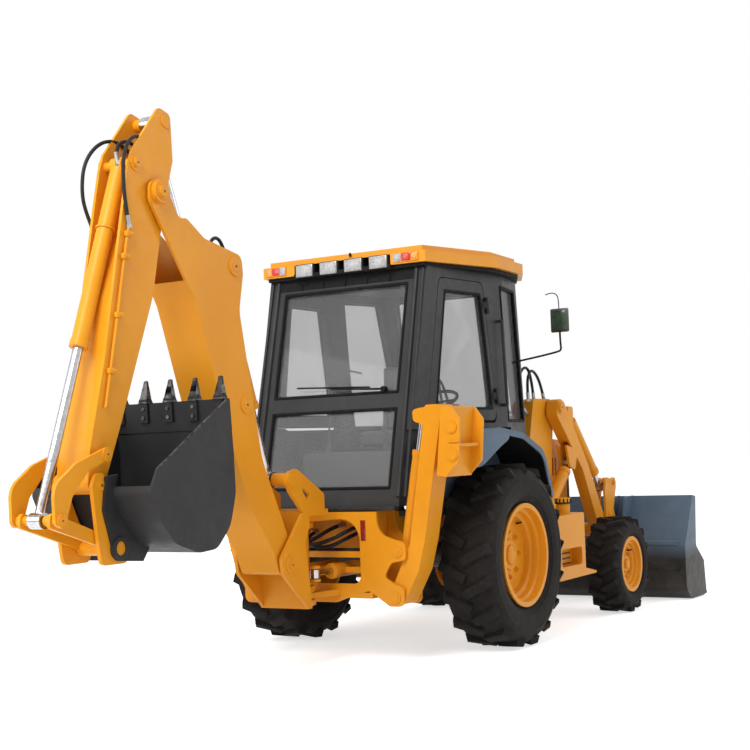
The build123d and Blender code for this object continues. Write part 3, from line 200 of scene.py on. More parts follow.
def tyreRubber():
    material, tree, shader, coords = startMaterial("tyreRubber", 0.82)
    rubber = rampNode(tree, noiseNode(tree, coords, 3.5, 6, 0.65),
                      [(0.3, (0.007, 0.006, 0.0055)), (0.75, (0.018, 0.015, 0.013))])
    dust = rampNode(tree, noiseNode(tree, coords, 22, 8, 0.75), [(0.5, (0, 0, 0)), (0.8, (0.5, 0.5, 0.5))])
    tree.links.new(mixNode(tree, dust, rubber, (0.048, 0.038, 0.030)), shader.inputs["Base Color"])
    bumpNode(tree, shader, noiseNode(tree, coords, 120, 4, 0.7), 0.25, 0.003)
    shader.inputs["Specular IOR Level"].default_value = 0.2
    return material


def tintedGlass():
    material, tree, shader, coords = startMaterial("tintedGlass", 0.03)
    smear = noiseNode(tree, coords, 3, 3)
    rampInto(tree, smear, [(0.3, (0.19, 0.193, 0.196)), (0.7, (0.24, 0.243, 0.246))], shader.inputs["Base Color"])
    rampInto(tree, smear, [(0.3, (0.02, 0.02, 0.02)), (0.8, (0.07, 0.07, 0.07))], shader.inputs["Roughness"])
    shader.inputs["Alpha"].default_value = 0.26
    shader.inputs["Specular IOR Level"].default_value = 0.4
    return material


def seatFabric():
    material, tree, shader, coords = startMaterial("seatFabric", 0.85)
    weave = tree.nodes.new("ShaderNodeTexWave")
    weave.inputs["Scale"].default_value = 130
    weave.inputs["Distortion"].default_value = 1.5
    tree.links.new(coords, weave.inputs["Vector"])
    threads = weave.outputs["Fac"]
    rampInto(tree, threads, [(0.2, (0.075, 0.076, 0.080)), (0.8, (0.130, 0.131, 0.136))], shader.inputs["Base Color"])
    bumpNode(tree, shader, threads, 0.3, 0.001)
    shader.inputs["Sheen Weight"].default_value = 0.3
    return material


def chromeRod():
    material, tree, shader, coords = startMaterial("chromeRod", 0.16, 1.0)
    shade = noiseNode(tree, coords, 30, 3)
    rampInto(tree, shade, [(0.3, (0.40, 0.40, 0.42)), (0.7, (0.55, 0.55, 0.57))], shader.inputs["Base Color"])
    rampInto(tree, shade, [(0.3, (0.10, 0.10, 0.10)), (0.8, (0.28, 0.28, 0.28))], shader.inputs["Roughness"])
    return material


# Moulded lens with small facets
def lensPlastic(name, colour, deep):
    material, tree, shader, coords = startMaterial(name, 0.18)
    facets = tree.nodes.new("ShaderNodeTexVoronoi")
    facets.inputs["Scale"].default_value = 75
    tree.links.new(coords, facets.inputs["Vector"])
    rampInto(tree, facets.outputs["Distance"], [(0.1, deep), (0.55, colour)], shader.inputs["Base Color"])
    bumpNode(tree, shader, facets.outputs["Distance"], 0.4, 0.002)
    shader.inputs["Coat Weight"].default_value = 0.25
    return material


# A material of two cloudy shades; noise is (scale, detail, roughness), bump is (noise, strength, distance)
def plainMaterial(name, roughness, noise, deep, colour, metallic=0.0, stops=(0.3, 0.7), shine=0.5, bump=None):
    material, tree, shader, coords = startMaterial(name, roughness, metallic)
    shades = [(stops[0], deep), (stops[1], colour)]
    rampInto(tree, noiseNode(tree, coords, *noise), shades, shader.inputs["Base Color"])
    shader.inputs["Specular IOR Level"].default_value = shine
    if bump:
        bumpNode(tree, shader, noiseNode(tree, coords, *bump[0]), bump[1], bump[2])
    return material


# The CAD's slots first, then what only trim uses; "face" is a mirror's glass, glossy, with a painted dark green
# reflection
finishes = {
    "tyre_rubber": tyreRubber(),
    "yellow_paint": paintedMetal("yellowPaint", (0.80, 0.325, 0.014), (0.74, 0.285, 0.011), 0.38,
                                 dust=(0.34, 0.20, 0.09), shine=0.18, coat=0.05),
    "black_paint": paintedMetal("blackPaint", (0.034, 0.034, 0.034), (0.023, 0.023, 0.023), 0.45, 0.04, shine=0.2,
                                coat=0.0),
    "tinted_glass": tintedGlass(),
    "grey_plastic": plainMaterial("greyPlastic", 0.6, (6, 5), (0.075, 0.075, 0.078), (0.105, 0.105, 0.108),
                                  bump=((420, 2), 0.3, 0.001)),
    "slate_paint": slatePaint(),
    "charcoal_paint": paintedMetal("charcoalPaint", (0.030, 0.030, 0.031), (0.020, 0.020, 0.021), 0.5, 0.12, 1.35,
                                   (0.10, 0.098, 0.092), 0.5, 0.2, 0.0),
    "chrome_rod": chromeRod(),
    "dark_steel": paintedMetal("darkSteel", (0.085, 0.085, 0.088), (0.050, 0.048, 0.047), 0.5, 0.1, 0.9,
                               (0.16, 0.13, 0.10), 0.5, 0.25, 0.0),
    "seat": seatFabric(),
    "worn": plainMaterial("wornSteel", 0.42, (18, 8, 0.7), (0.020, 0.020, 0.022), (0.20, 0.20, 0.20), 0.85,
                          (0.40, 0.72), bump=((18, 8, 0.7), 0.25, 0.002)),
    "hose": plainMaterial("hoseRubber", 0.5, (60, 3), (0.009, 0.009, 0.009), (0.020, 0.020, 0.020), shine=0.2,
                          bump=((300, 2), 0.2, 0.001)),
    "seal": plainMaterial("sealRubber", 0.7, (40, 3), (0.006, 0.006, 0.006), (0.013, 0.013, 0.013), shine=0.12),
    "mirror": paintedMetal("mirrorBack", (0.060, 0.080, 0.052), (0.040, 0.055, 0.036), 0.35),
    "zinc": plainMaterial("zincPlate", 0.4, (50, 4), (0.26, 0.26, 0.25), (0.42, 0.42, 0.41), 0.9),
    # its dark green is a painted reflection on the mirror glass
    "face": plainMaterial("mirrorGlassPaintedReflection", 0.12, (9, 3), (0.020, 0.036, 0.022), (0.050, 0.075, 0.048), shine=0.35),
    "amber": lensPlastic("amberLens", (0.85, 0.30, 0.03), (0.55, 0.15, 0.01)),
    "red": lensPlastic("redLens", (0.62, 0.025, 0.02), (0.35, 0.01, 0.01)),
    "clear": lensPlastic("clearLens", (0.40, 0.40, 0.40), (0.22, 0.22, 0.22)),
    "maroon": lensPlastic("maroonReflector", (0.26, 0.020, 0.014), (0.15, 0.010, 0.008)),
}
slotOf = {part["node"]: part["material_slot"] for part in frame["record"]["subparts"]}
for name, node in nodes.items():
    for index in range(len(node.material_slots)):
        node.material_slots[index].material = finishes[slotOf[name]]
print("materials made:", len(finishes))


# Finishes a bmesh as a piece that rides on a body
def addPiece(name, mesh, finish, body, slot=None, angle=35):
    slot = slot or finish
    bmesh.ops.recalc_face_normals(mesh, faces=mesh.faces)
    data = bpy.data.meshes.new(name)
    mesh.to_mesh(data)
    mesh.free()
    data.materials.append(finishes[finish])
    data.shade_smooth()
    data.set_sharp_from_angle(angle=radians(angle))
    piece = bpy.data.objects.new(name, data)
    scene.collection.objects.link(piece)
    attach(piece, body)
    return piece


def addBar(mesh, start, end, radius, segments=20, endRadius=None):
    start, end = Vector(start), Vector(end)
    turn = (end - start).to_track_quat("Z", "Y").to_matrix().to_4x4()
    place = Matrix.Translation((start + end) / 2) @ turn
    bmesh.ops.create_cone(mesh, cap_ends=True, segments=segments, radius1=radius,
                          radius2=radius if endRadius is None else endRadius,
                          depth=(end - start).length, matrix=place)


def addBox(mesh, low, high, round_=0.0):
    low, high = Vector(low), Vector(high)
    size = high - low
    scale = Matrix.Diagonal((abs(size.x), abs(size.y), abs(size.z), 1))
    made = bmesh.ops.create_cube(mesh, size=1, matrix=Matrix.Translation((low + high) / 2) @ scale)
    if round_:
        edges = {edge for vert in made["verts"] for edge in vert.link_edges}
        bmesh.ops.bevel(mesh, geom=list(edges), offset=round_, segments=2, affect="EDGES", profile=0.5, material=-1)


# A ring turned about a line across the machine: profile is (outwards, radius)
def addTurned(mesh, centre, side, profile, steps):
    verts = [mesh.verts.new((centre[0], centre[1] + side * outwards, centre[2] + radius))
             for outwards, radius in profile]
    edges = [mesh.edges.new(pair) for pair in zip(verts, verts[1:] + verts[:1])]
    bmesh.ops.spin(mesh, geom=verts + edges, cent=centre, axis=(0, 1, 0), angle=2 * pi, steps=steps, use_merge=True)


# Everything that is joined to some vertices
def islandOf(verts):
    island = set(verts)
    rim = island
    while rim:
        rim = {edge.other_vert(vert) for vert in rim for edge in vert.link_edges} - island
        island = island | rim
    return island


def mergeDoubles(mesh):
    bmesh.ops.remove_doubles(mesh, verts=mesh.verts, dist=0.00001)


# A round tube along a smooth line through control points
def addTube(mesh, points, radius, name):
    curve = bpy.data.curves.new(name, "CURVE")
    curve.dimensions = "3D"
    curve.resolution_u = 6
    curve.bevel_depth = radius
    curve.bevel_resolution = 3
    curve.use_fill_caps = True
    spline = curve.splines.new("NURBS")
    spline.points.add(len(points) - 1)
    for point, place in zip(spline.points, points):
        point.co = (*place, 1)
    spline.order_u = 3
    spline.use_endpoint_u = True
    holder = bpy.data.objects.new(name, curve)
    scene.collection.objects.link(holder)
    data = bpy.data.meshes.new_from_object(holder.evaluated_get(bpy.context.evaluated_depsgraph_get()))
    bpy.data.objects.remove(holder)
    bpy.data.curves.remove(curve)
    mesh.from_mesh(data)
    bpy.data.meshes.remove(data)
    mergeDoubles(mesh)


# Hoses held at both ends, with a pressed ferrule and a hexagon nut at each
hoseEnd = {"ferrule": 0.055, "ferruleRadius": 1.25, "nut": 0.022, "nutRadius": 1.5}


def addHoses(name, routes, radius, body):
    rubber = bmesh.new()
    fittings = bmesh.new()
    for index, route in enumerate(routes):
        addTube(rubber, route, radius, f"{name}Line{index}")
        for first, second in ((route[0], route[1]), (route[-1], route[-2])):
            first, second = Vector(first), Vector(second)
            way = (second - first).normalized()
            addBar(fittings, first - way * 0.004, first + way * hoseEnd["ferrule"],
                   radius * hoseEnd["ferruleRadius"], 16)
            addBar(fittings, first - way * hoseEnd["nut"], first + way * 0.002, radius * hoseEnd["nutRadius"], 6)
    addPiece(name, rubber, "hose", body, "tyre_rubber")
    addPiece(f"{name}Fittings", fittings, "zinc", body, "chrome_rod")


# Tyres: a rounded carcass, and bar lugs cut from boxes that slant forwards to the shoulder
tyres = {
    "rear": {"joint": "rear_{}_wheel_spin", "radius": 0.671, "width": 0.430, "rim": 0.356, "lugs": 17},
    "front": {"joint": "front_{}_wheel_spin", "radius": 0.412, "width": 0.310, "rim": 0.216, "lugs": 16},
    "lugHeight": 0.038, "slant": 27, "share": 0.27, "footShare": 0.62, "lugRound": 0.006, "steps": 96,
    # from the bead to the crown: share of the half width, share of the depth, with two raised rings
    "wall": ((0.70, 0.001), (0.74, 0.10), (0.82, 0.16), (0.90, 0.28), (0.915, 0.30), (0.925, 0.285), (0.955, 0.36),
             (0.985, 0.48), (0.99, 0.58), (0.972, 0.68), (0.985, 0.70), (0.97, 0.725), (0.93, 0.83), (0.87, 0.92),
             (0.78, 0.975), (0.5, 0.995), (0.0, 1.0)),
}


def addLug(mesh, centre, side, row, angle, size):
    half, foot, lugs = size["width"] / 2, size["radius"] - tyres["lugHeight"], size["lugs"]
    slant = radians(tyres["slant"])
    run = half / cos(slant)
    thick = 2 * pi * size["radius"] / lugs * tyres["share"]
    top = sqrt(size["radius"] ** 2 - (run * sin(slant) / 2 + thick / 2) ** 2) - 0.001
    made = bmesh.ops.create_cube(mesh, size=1)
    verts = made["verts"]
    for vert in verts:
        outer, high = vert.co.y > 0, vert.co.z > 0
        wide = 0.5 if high else tyres["footShare"]
        along = (0.84 if high else 0.93) * run if outer else -0.05 * run
        vert.co = Vector(((1 if vert.co.x > 0 else -1) * thick * wide, along, top if high else foot - 0.03))
    edges = list({edge for vert in verts for edge in vert.link_edges if all(v.co.z > foot for v in edge.verts)})
    bevelled = bmesh.ops.bevel(mesh, geom=edges, offset=tyres["lugRound"], segments=2, affect="EDGES", profile=0.5,
                               material=-1)
    lug = islandOf({vert for face in bevelled["faces"] for vert in face.verts})
    lean = Matrix.Rotation(-slant, 4, "Z")
    shift = Matrix.Translation((-run * sin(slant) / 2, 0, 0))
    flip = Matrix.Diagonal((1, row, 1, 1))
    turn = Matrix.Rotation(angle, 4, "Y")
    place = Matrix.Translation(centre) @ Matrix.Diagonal((1, side, 1, 1)) @ turn @ flip @ shift @ lean
    bmesh.ops.transform(mesh, matrix=place, verts=list(lug))


def addTyre(axle, side, word):
    size = tyres[axle]
    centre = pivots[size["joint"].format(word)]
    half = size["width"] / 2
    depth = size["radius"] - tyres["lugHeight"] - size["rim"]
    mesh = bmesh.new()
    outer = [(share * half, size["rim"] + rise * depth) for share, rise in tyres["wall"]]
    profile = [(-y, radius) for y, radius in outer] + [(y, radius) for y, radius in reversed(outer[:-1])]
    addTurned(mesh, centre, side, profile, tyres["steps"])
    pitch = 2 * pi / size["lugs"]
    for index in range(size["lugs"]):
        addLug(mesh, centre, side, 1, index * pitch, size)
        addLug(mesh, centre, side, -1, (index + 0.5) * pitch, size)
    piece = addPiece(f"{axle}{word.title()}TyreTread", mesh, "tyre_rubber", f"{axle}_{word}_wheel")
    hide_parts(f"{axle}_{word}_tyre")


# Wheel bolts on the disc, a hub cap, a valve and the weld beads of the disc
wheelTrim = {
    "rear": {"disc": 0.040, "bolts": 8, "circle": 0.165, "boltRadius": 0.017, "cap": 0.075, "weld": 0.278,
             "valve": 0.262},
    "front": {"disc": 0.060, "bolts": 8, "circle": 0.105, "boltRadius": 0.012, "cap": 0.045, "weld": 0.138,
              "valve": 0.126},
    # washer, nut and stud: from, to, share of the bolt's radius, segments
    "stack": ((-0.004, 0.004, 1.5, 20), (0.004, 0.020, 1.0, 6), (0.018, 0.030, 0.55, 14)),
}


def addWheelTrim(axle, side, word):
    size = wheelTrim[axle]
    centre = pivots[tyres[axle]["joint"].format(word)]

    def at(outwards, radius, angle):
        return (centre[0] + radius * sin(angle), centre[1] + side * outwards, centre[2] + radius * cos(angle))

    mesh = bmesh.new()
    for index in range(size["bolts"]):
        angle = 2 * pi * index / size["bolts"]
        for start, end, share, segments in wheelTrim["stack"]:
            addBar(mesh, at(size["disc"] + start, size["circle"], angle),
                   at(size["disc"] + end, size["circle"], angle), size["boltRadius"] * share, segments)
    hub = size["disc"] + 0.020
    profile = [(hub - 0.004, 0.0005), (hub - 0.004, size["cap"]), (hub + 0.012, size["cap"] * 0.96),
               (hub + 0.020, size["cap"] * 0.80), (hub + 0.024, size["cap"] * 0.4), (hub + 0.024, 0.0005)]
    addTurned(mesh, centre, side, profile, 40)
    ring = [(size["disc"] + 0.001, size["weld"]), (size["disc"] + 0.007, size["weld"] + 0.004),
            (size["disc"] + 0.003, size["weld"] + 0.010), (size["disc"] - 0.004, size["weld"] + 0.004)]
    addTurned(mesh, centre, side, ring, 64)
    addPiece(f"{axle}{word.title()}WheelBolts", mesh, "yellow_paint", f"{axle}_{word}_wheel")
    valve = bmesh.new()
    addBar(valve, at(size["disc"] - 0.01, size["valve"], 0.6), at(size["disc"] + 0.045, size["valve"] + 0.012, 0.6),
           0.006)
    addPiece(f"{axle}{word.title()}Valve", valve, "seal", f"{axle}_{word}_wheel", "tyre_rubber")


for axle in ("rear", "front"):
    for side, word in sides:
        addTyre(axle, side, word)
        addWheelTrim(axle, side, word)
print("wheels dressed")


# Doors: the pane becomes glass, the frame keeps its paint
def splitDoor(word):
    mesh = bmesh.new()
    mesh.from_mesh(nodes[f"{word}_door"].data)
    mergeDoubles(mesh)
    islands = []
    left = set(mesh.verts)
    while left:
        islands.append(islandOf([left.pop()]))
        left -= islands[-1]
    islands.sort(key=len)
    mesh.verts.index_update()
    for name, finish, kept in (("Pane", "tinted_glass", islands[0]),
                               ("Frame", "black_paint", set().union(*islands[1:]))):
        part = mesh.copy()
        keep = {vert.index for vert in kept}
        bmesh.ops.delete(part, geom=[vert for vert in part.verts if vert.index not in keep], context="VERTS")
        piece = addPiece(f"{word}Door{name}", part, finish, f"{word}_door")
        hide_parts(f"{word}_door")
    mesh.free()


# Side view of the panes: x, z of their corners
doorPane = ((-0.380, 1.754), (0.410, 1.754), (0.280, 2.610), (-0.210, 2.610))
quarterPane = ((0.700, 1.660), (1.260, 1.660), (1.045, 2.690), (0.620, 2.690))
cabPlan = ((-0.910, 0.645), (0.340, 0.730), (0.660, 0.730), (1.540, 0.520))  # x, half width
sealRing = {"doorRadius": 0.011, "radius": 0.012, "sunk": 0.004, "steps": 6}


# Half width of the cab's outside at a station
def cabHalf(x):
    for (x0, y0), (x1, y1) in zip(cabPlan, cabPlan[1:]):
        if x <= x1:
            return y0 + (y1 - y0) * (x - x0) / (x1 - x0)
    return cabPlan[-1][1]


# A soft rubber seal: bars round a loop of points, and a ball at each corner
def addSeal(mesh, points, corners, radius):
    for first, second in zip(points, points[1:] + points[:1]):
        addBar(mesh, first, second, radius, 10)
    for corner in corners:
        bmesh.ops.create_uvsphere(mesh, u_segments=10, v_segments=6, radius=radius, matrix=Matrix.Translation(corner))


# The same, laid on the cab's side
def addSideSeal(mesh, pane, side, radius):
    def onSide(x, z):
        return Vector((x, side * (cabHalf(x) - sealRing["sunk"]), z))

    points = []
    for (x0, z0), (x1, z1) in zip(pane, pane[1:] + pane[:1]):
        for step in range(sealRing["steps"]):
            share = step / sealRing["steps"]
            points.append(onSide(x0 + (x1 - x0) * share, z0 + (z1 - z0) * share))
    addSeal(mesh, points, [onSide(x, z) for x, z in pane], radius)


doorHandle = {"rear": -0.33, "front": -0.20, "z": 1.72, "out": 0.030, "radius": 0.011, "postRadius": 0.010}


def addDoorTrim(side, word):
    splitDoor(word)
    seal = bmesh.new()
    addSideSeal(seal, doorPane, side, sealRing["doorRadius"])
    addPiece(f"{word}DoorSeal", seal, "seal", f"{word}_door", "tyre_rubber")
    handle = bmesh.new()
    z = doorHandle["z"]
    y = side * (cabHalf(doorHandle["rear"]) + doorHandle["out"])
    for x in (doorHandle["rear"], doorHandle["front"]):
        addBar(handle, (x, side * (cabHalf(x) - 0.01), z), (x, y, z), doorHandle["postRadius"], 14)
    addBar(handle, (doorHandle["rear"] - 0.02, y, z), (doorHandle["front"] + 0.02, y, z), doorHandle["radius"], 16)
    addPiece(f"{word}DoorHandle", handle, "grey_plastic", f"{word}_door")


# The cab's rear and front lean from x at the low height by a run at the high one
cabTrim = {"low": 1.080, "high": 2.800, "rear": -0.860, "rearRun": 0.435, "front": 1.410, "frontRun": -0.270,
           "rearHalf": 0.525, "rearPanes": ((1.880, 2.660), (1.210, 1.760)),
           "frontHalf": 0.480, "frontPane": (1.700, 2.700)}


def rearFace(z):
    return cabTrim["rear"] + cabTrim["rearRun"] * (z - cabTrim["low"]) / (cabTrim["high"] - cabTrim["low"])


def frontFace(z):
    return cabTrim["front"] + cabTrim["frontRun"] * (z - cabTrim["low"]) / (cabTrim["high"] - cabTrim["low"])


def addEndSeal(mesh, face, half, pane, proud):
    low, high = pane
    corners = [(face(low) + proud, -half, low), (face(low) + proud, half, low), (face(high) + proud, half, high),
               (face(high) + proud, -half, high)]
    addSeal(mesh, corners, corners, sealRing["radius"])


# Channel strips that stand up the rear posts: outwards of the rear pane, radius
postStrip = {"low": 1.15, "high": 2.76, "rows": ((0.080, 0.018), (0.135, 0.012)), "taper": 0.985}
grabRail = {"x": 0.58, "low": 1.78, "high": 2.42, "lean": -0.035, "out": 0.045, "radius": 0.012}


def addCabTrim():
    seals = bmesh.new()
    for pane in cabTrim["rearPanes"]:
        addEndSeal(seals, rearFace, cabTrim["rearHalf"], pane, 0.003)
    addEndSeal(seals, frontFace, cabTrim["frontHalf"], cabTrim["frontPane"], -0.003)
    posts = bmesh.new()
    rails = bmesh.new()
    for side in (1, -1):
        addSideSeal(seals, quarterPane, side, sealRing["radius"])
        for inset, radius in postStrip["rows"]:
            y = side * (cabTrim["rearHalf"] + inset)
            addBar(posts, (rearFace(postStrip["low"]) - 0.004, y, postStrip["low"]),
                   (rearFace(postStrip["high"]) - 0.004, y * postStrip["taper"], postStrip["high"]), radius, 8)
        wall = cabHalf(grabRail["x"])
        y = side * (wall + grabRail["out"])
        ends = ((grabRail["x"], grabRail["low"]), (grabRail["x"] + grabRail["lean"], grabRail["high"]))
        addBar(rails, (ends[0][0], y, ends[0][1]), (ends[1][0], y, ends[1][1]), grabRail["radius"], 14)
        for x, z in ends:
            addBar(rails, (x, side * (wall - 0.01), z), (x, y, z), grabRail["radius"], 14)
    addPiece("cabSeals", seals, "seal", "chassis", "tyre_rubber")
    addPiece("cabPostStrips", posts, "black_paint", "chassis")
    addPiece("grabRails", rails, "black_paint", "chassis")


wiper = {"pivot": -0.420, "length": 0.82, "rise": 0.035, "rear": 1.905, "front": 1.735}


def addWipers():
    mesh = bmesh.new()
    # parked along the foot of the upper rear pane and of the windscreen
    for face, sign, z in ((rearFace, -1, wiper["rear"]), (frontFace, 1, wiper["front"])):
        y, top = wiper["pivot"], z + wiper["rise"]
        start = Vector((face(z) + sign * 0.028, y, z))
        end = Vector((face(top) + sign * 0.024, y + wiper["length"] * 0.9, top))
        addBar(mesh, start - Vector((sign * 0.03, 0, 0)), start + Vector((sign * 0.008, 0, 0)), 0.020, 18)
        addBar(mesh, start, start.lerp(end, 0.62), 0.008, 10, 0.005)
        addBar(mesh, start.lerp(end, 0.15) + Vector((0, 0, 0.014)), end + Vector((0, 0, 0.008)), 0.006, 8)
    addPiece("wipers", mesh, "seal", "chassis", "black_paint")


# A matt black skin of painted shade over some faces of a CAD node, laid just proud of them
def addSkin(name, source, keep, proud=0.0012):
    mesh = bmesh.new()
    mesh.from_mesh(nodes[source].data)
    mergeDoubles(mesh)
    left = [face for face in mesh.faces if not keep(face.calc_center_median(), face.normal)]
    bmesh.ops.delete(mesh, geom=left, context="FACES")
    bmesh.ops.split_edges(mesh, edges=[edge for edge in mesh.edges if edge.calc_face_angle(0) > 0.6])
    mesh.normal_update()
    for vert in mesh.verts:
        vert.co += vert.normal * proud
    bmesh.ops.solidify(mesh, geom=mesh.faces[:], thickness=proud * 0.7)
    addPiece(name, mesh, "seal", "chassis", "black_paint", angle=30)


shadeSkins = {"eave": 2.7995, "recessHalf": 0.416, "recessFront": -0.43, "recess": (2.805, 2.8765), "undersideHalf": 1.040}


def addSkins():
    # painted shade under the roof's eave, in the recess behind the work lamps, and on the fenders' underside
    addSkin("roofEaveShade", "cab_roof", lambda at, way: at.z < shadeSkins["eave"])
    low, high = shadeSkins["recess"]
    addSkin("lampRecessShade", "cab_roof",
            lambda at, way: abs(at.y) < shadeSkins["recessHalf"] and at.x < shadeSkins["recessFront"] and low < at.z < high)
    # painted shade on the fenders' downward faces
    addSkin("fenderUndersideShade", "rear_fenders", lambda at, way: way.z < -0.25 and abs(at.y) < shadeSkins["undersideHalf"])


for side, word in sides:
    addDoorTrim(side, word)
addCabTrim()
addWipers()
addSkins()
print("cab dressed")


# The roof's rear: four work lamps, three tail lamps a side, the header under them and a stub on top
roofLamps = {"rear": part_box("cab_roof")[0][0], "count": 4, "pitch": 0.213,
             # housing, bezel, lens: how far behind, how far ahead, half width, low z, high z, round
             "layers": ((0.006, 0.05, 0.080, 2.778, 2.879, 0.008), (0.009, 0.01, 0.074, 2.784, 2.874, 0.005),
                        (0.013, 0.01, 0.068, 2.790, 2.868, 0.005))}
tailLamps = {"low": 2.816, "high": 2.874,
             # from y, to y, lens
             "lenses": ((0.618, 0.672, "amber"), (0.548, 0.614, "red"), (0.492, 0.544, "clear"),
                        (-0.644, -0.590, "amber"), (-0.586, -0.510, "red"), (-0.506, -0.442, "clear"))}
header = {"half": 0.575, "low": 2.692, "high": 2.777, "strip": (0.418, 2.7765, 2.8085), "clips": 5, "clipPitch": 0.19}
roofStub = {"place": (-0.470, -0.060), "low": 2.900, "high": 2.926, "radius": 0.010, "tip": 0.007}


def addWorkLamps():
    meshes = [bmesh.new() for _ in roofLamps["layers"]]
    x = roofLamps["rear"] - 0.002
    for index in range(roofLamps["count"]):
        y = (index - (roofLamps["count"] - 1) / 2) * roofLamps["pitch"]
        for mesh, (behind, ahead, half, low, high, round_) in zip(meshes, roofLamps["layers"]):
            addBox(mesh, (x - behind, y - half, low), (x + ahead, y + half, high), round_)
    housings, bezels, lenses = meshes
    addPiece("workLampHousings", housings, "black_paint", "chassis")
    addPiece("workLampBezels", bezels, "zinc", "chassis", "grey_plastic")
    addPiece("workLampLenses", lenses, "clear", "chassis", "grey_plastic")


def addRearHeader():
    mesh = bmesh.new()
    x = roofLamps["rear"] - 0.002
    half, low, high = header["strip"]
    addBox(mesh, (x - 0.001, -half, low), (x + 0.030, half, high), 0.002)
    for index in range(header["clips"]):
        y = (index - (header["clips"] - 1) / 2) * header["clipPitch"]
        addBar(mesh, (rearFace(2.70) - 0.012, y, 2.690), (rearFace(2.74) - 0.012, y, 2.735), 0.006, 8)
    # a block that leans with the rear face
    for vert in bmesh.ops.create_cube(mesh, size=1)["verts"]:
        z = header["high"] if vert.co.z > 0 else header["low"]
        y = header["half"] if vert.co.y > 0 else -header["half"]
        vert.co = Vector((rearFace(z) + (0.003 if vert.co.x > 0 else -0.005), y, z))
    addPiece("rearHeader", mesh, "seal", "chassis", "black_paint")


def addTailLamps():
    lamps = {name: bmesh.new() for name in ("amber", "red", "clear")}
    for y0, y1, name in tailLamps["lenses"]:
        addBox(lamps[name], (roofLamps["rear"] - 0.004, y0, tailLamps["low"]),
               (roofLamps["rear"] + 0.012, y1, tailLamps["high"]), 0.004)
    for name, mesh in lamps.items():
        addPiece(f"tailLens{name.title()}", mesh, name, "chassis", "grey_plastic")


def addRoofStub():
    mesh = bmesh.new()
    addBar(mesh, (*roofStub["place"], roofStub["low"]), (*roofStub["place"], roofStub["high"]),
           roofStub["radius"], 14, roofStub["tip"])
    addPiece("roofStub", mesh, "seal", "chassis", "black_paint")


addWorkLamps()
addRearHeader()
addTailLamps()
addRoofStub()


# Headlamps at the upper corners of the grille, each with a beaded rim
headlamp = {"out": 0.295, "drop": 0.070, "radius": 0.046, "face": 0.040, "rim": 0.051, "beads": 24, "bead": 0.008}


def addHeadlamps():
    x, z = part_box("front_grille")[1][0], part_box("front_grille")[1][2] - headlamp["drop"]
    lenses = bmesh.new()
    rims = bmesh.new()
    for side in (1, -1):
        y = side * headlamp["out"]
        addBar(lenses, (x - 0.01, y, z), (x + 0.006, y, z), headlamp["radius"], 32, headlamp["face"])
        for index in range(headlamp["beads"]):
            angle = 2 * pi * index / headlamp["beads"]
            spot = (y + headlamp["rim"] * sin(angle), z + headlamp["rim"] * cos(angle))
            addBar(rims, (x - 0.012, *spot), (x + 0.004, *spot), headlamp["bead"], 8)
    addPiece("headlampLenses", lenses, "clear", "engine_hood", "grey_plastic")
    addPiece("headlampRims", rims, "black_paint", "engine_hood")


addHeadlamps()
print("lamps dressed")


# Operator's seat: two pads blown up as cloth, then pressed in along sewn channels
seat = {"half": 0.222, "round": 0.022, "voxel": 0.009, "pressure": 4, "frames": 20, "swell": 0.014,
        "channels": (-0.11, 0.0, 0.11), "channelHalf": 0.022, "sewn": 0.010,
        # side views of the pads: x, z
        "seatCushion": ((-0.010, 1.512), (0.460, 1.500), (0.468, 1.588), (-0.010, 1.608)),
        "seatBackrest": ((0.340, 1.600), (0.420, 1.600), (0.475, 2.125), (0.400, 2.135)),
        "bellows": 5, "bellowsPitch": 0.036}


def padForm(outline):
    mesh = bmesh.new()
    face = mesh.faces.new([mesh.verts.new((x, -seat["half"], z)) for x, z in outline])
    made = bmesh.ops.extrude_face_region(mesh, geom=[face])
    moved = [item for item in made["geom"] if isinstance(item, bmesh.types.BMVert)]
    bmesh.ops.translate(mesh, verts=moved, vec=(0, 2 * seat["half"], 0))
    bmesh.ops.bevel(mesh, geom=mesh.edges[:], offset=seat["round"], segments=3, affect="EDGES", profile=0.5,
                    material=-1)
    return mesh


def bakedMesh(piece):
    graph = bpy.context.evaluated_depsgraph_get()
    data = bpy.data.meshes.new_from_object(piece.evaluated_get(graph))
    piece.modifiers.clear()
    piece.data = data


def inflatePad(piece):
    remesh = piece.modifiers.new("remesh", "REMESH")
    remesh.mode = "VOXEL"
    remesh.voxel_size = seat["voxel"]
    bakedMesh(piece)
    rest = [vert.co.copy() for vert in piece.data.vertices]
    cloth = piece.modifiers.new("cloth", "CLOTH")
    cloth.settings.use_pressure = True
    cloth.settings.uniform_pressure_force = seat["pressure"]
    cloth.settings.effector_weights.gravity = 0
    for frameNumber in range(1, seat["frames"] + 1):
        scene.frame_set(frameNumber)
    bakedMesh(piece)
    scene.frame_set(1)
    low = min(co.y for co in rest)
    middle = sum(rest, Vector()) / len(rest)
    for vert, start in zip(piece.data.vertices, rest):
        move = vert.co - start
        if move.length > seat["swell"]:
            vert.co = start + move.normalized() * seat["swell"]
        # sewn channels run along the pad
        near = min(abs(vert.co.y - channel) for channel in seat["channels"]) / seat["channelHalf"]
        if near < 1 and abs(vert.co.y) < abs(low) - 0.02:
            inward = middle - vert.co
            inward.y = 0
            vert.co += inward.normalized() * seat["sewn"] * (1 - near) ** 2
    piece.data.shade_smooth()
    smoothing = piece.modifiers.new("round", "SUBSURF")
    smoothing.levels = smoothing.render_levels = 1
    bakedMesh(piece)


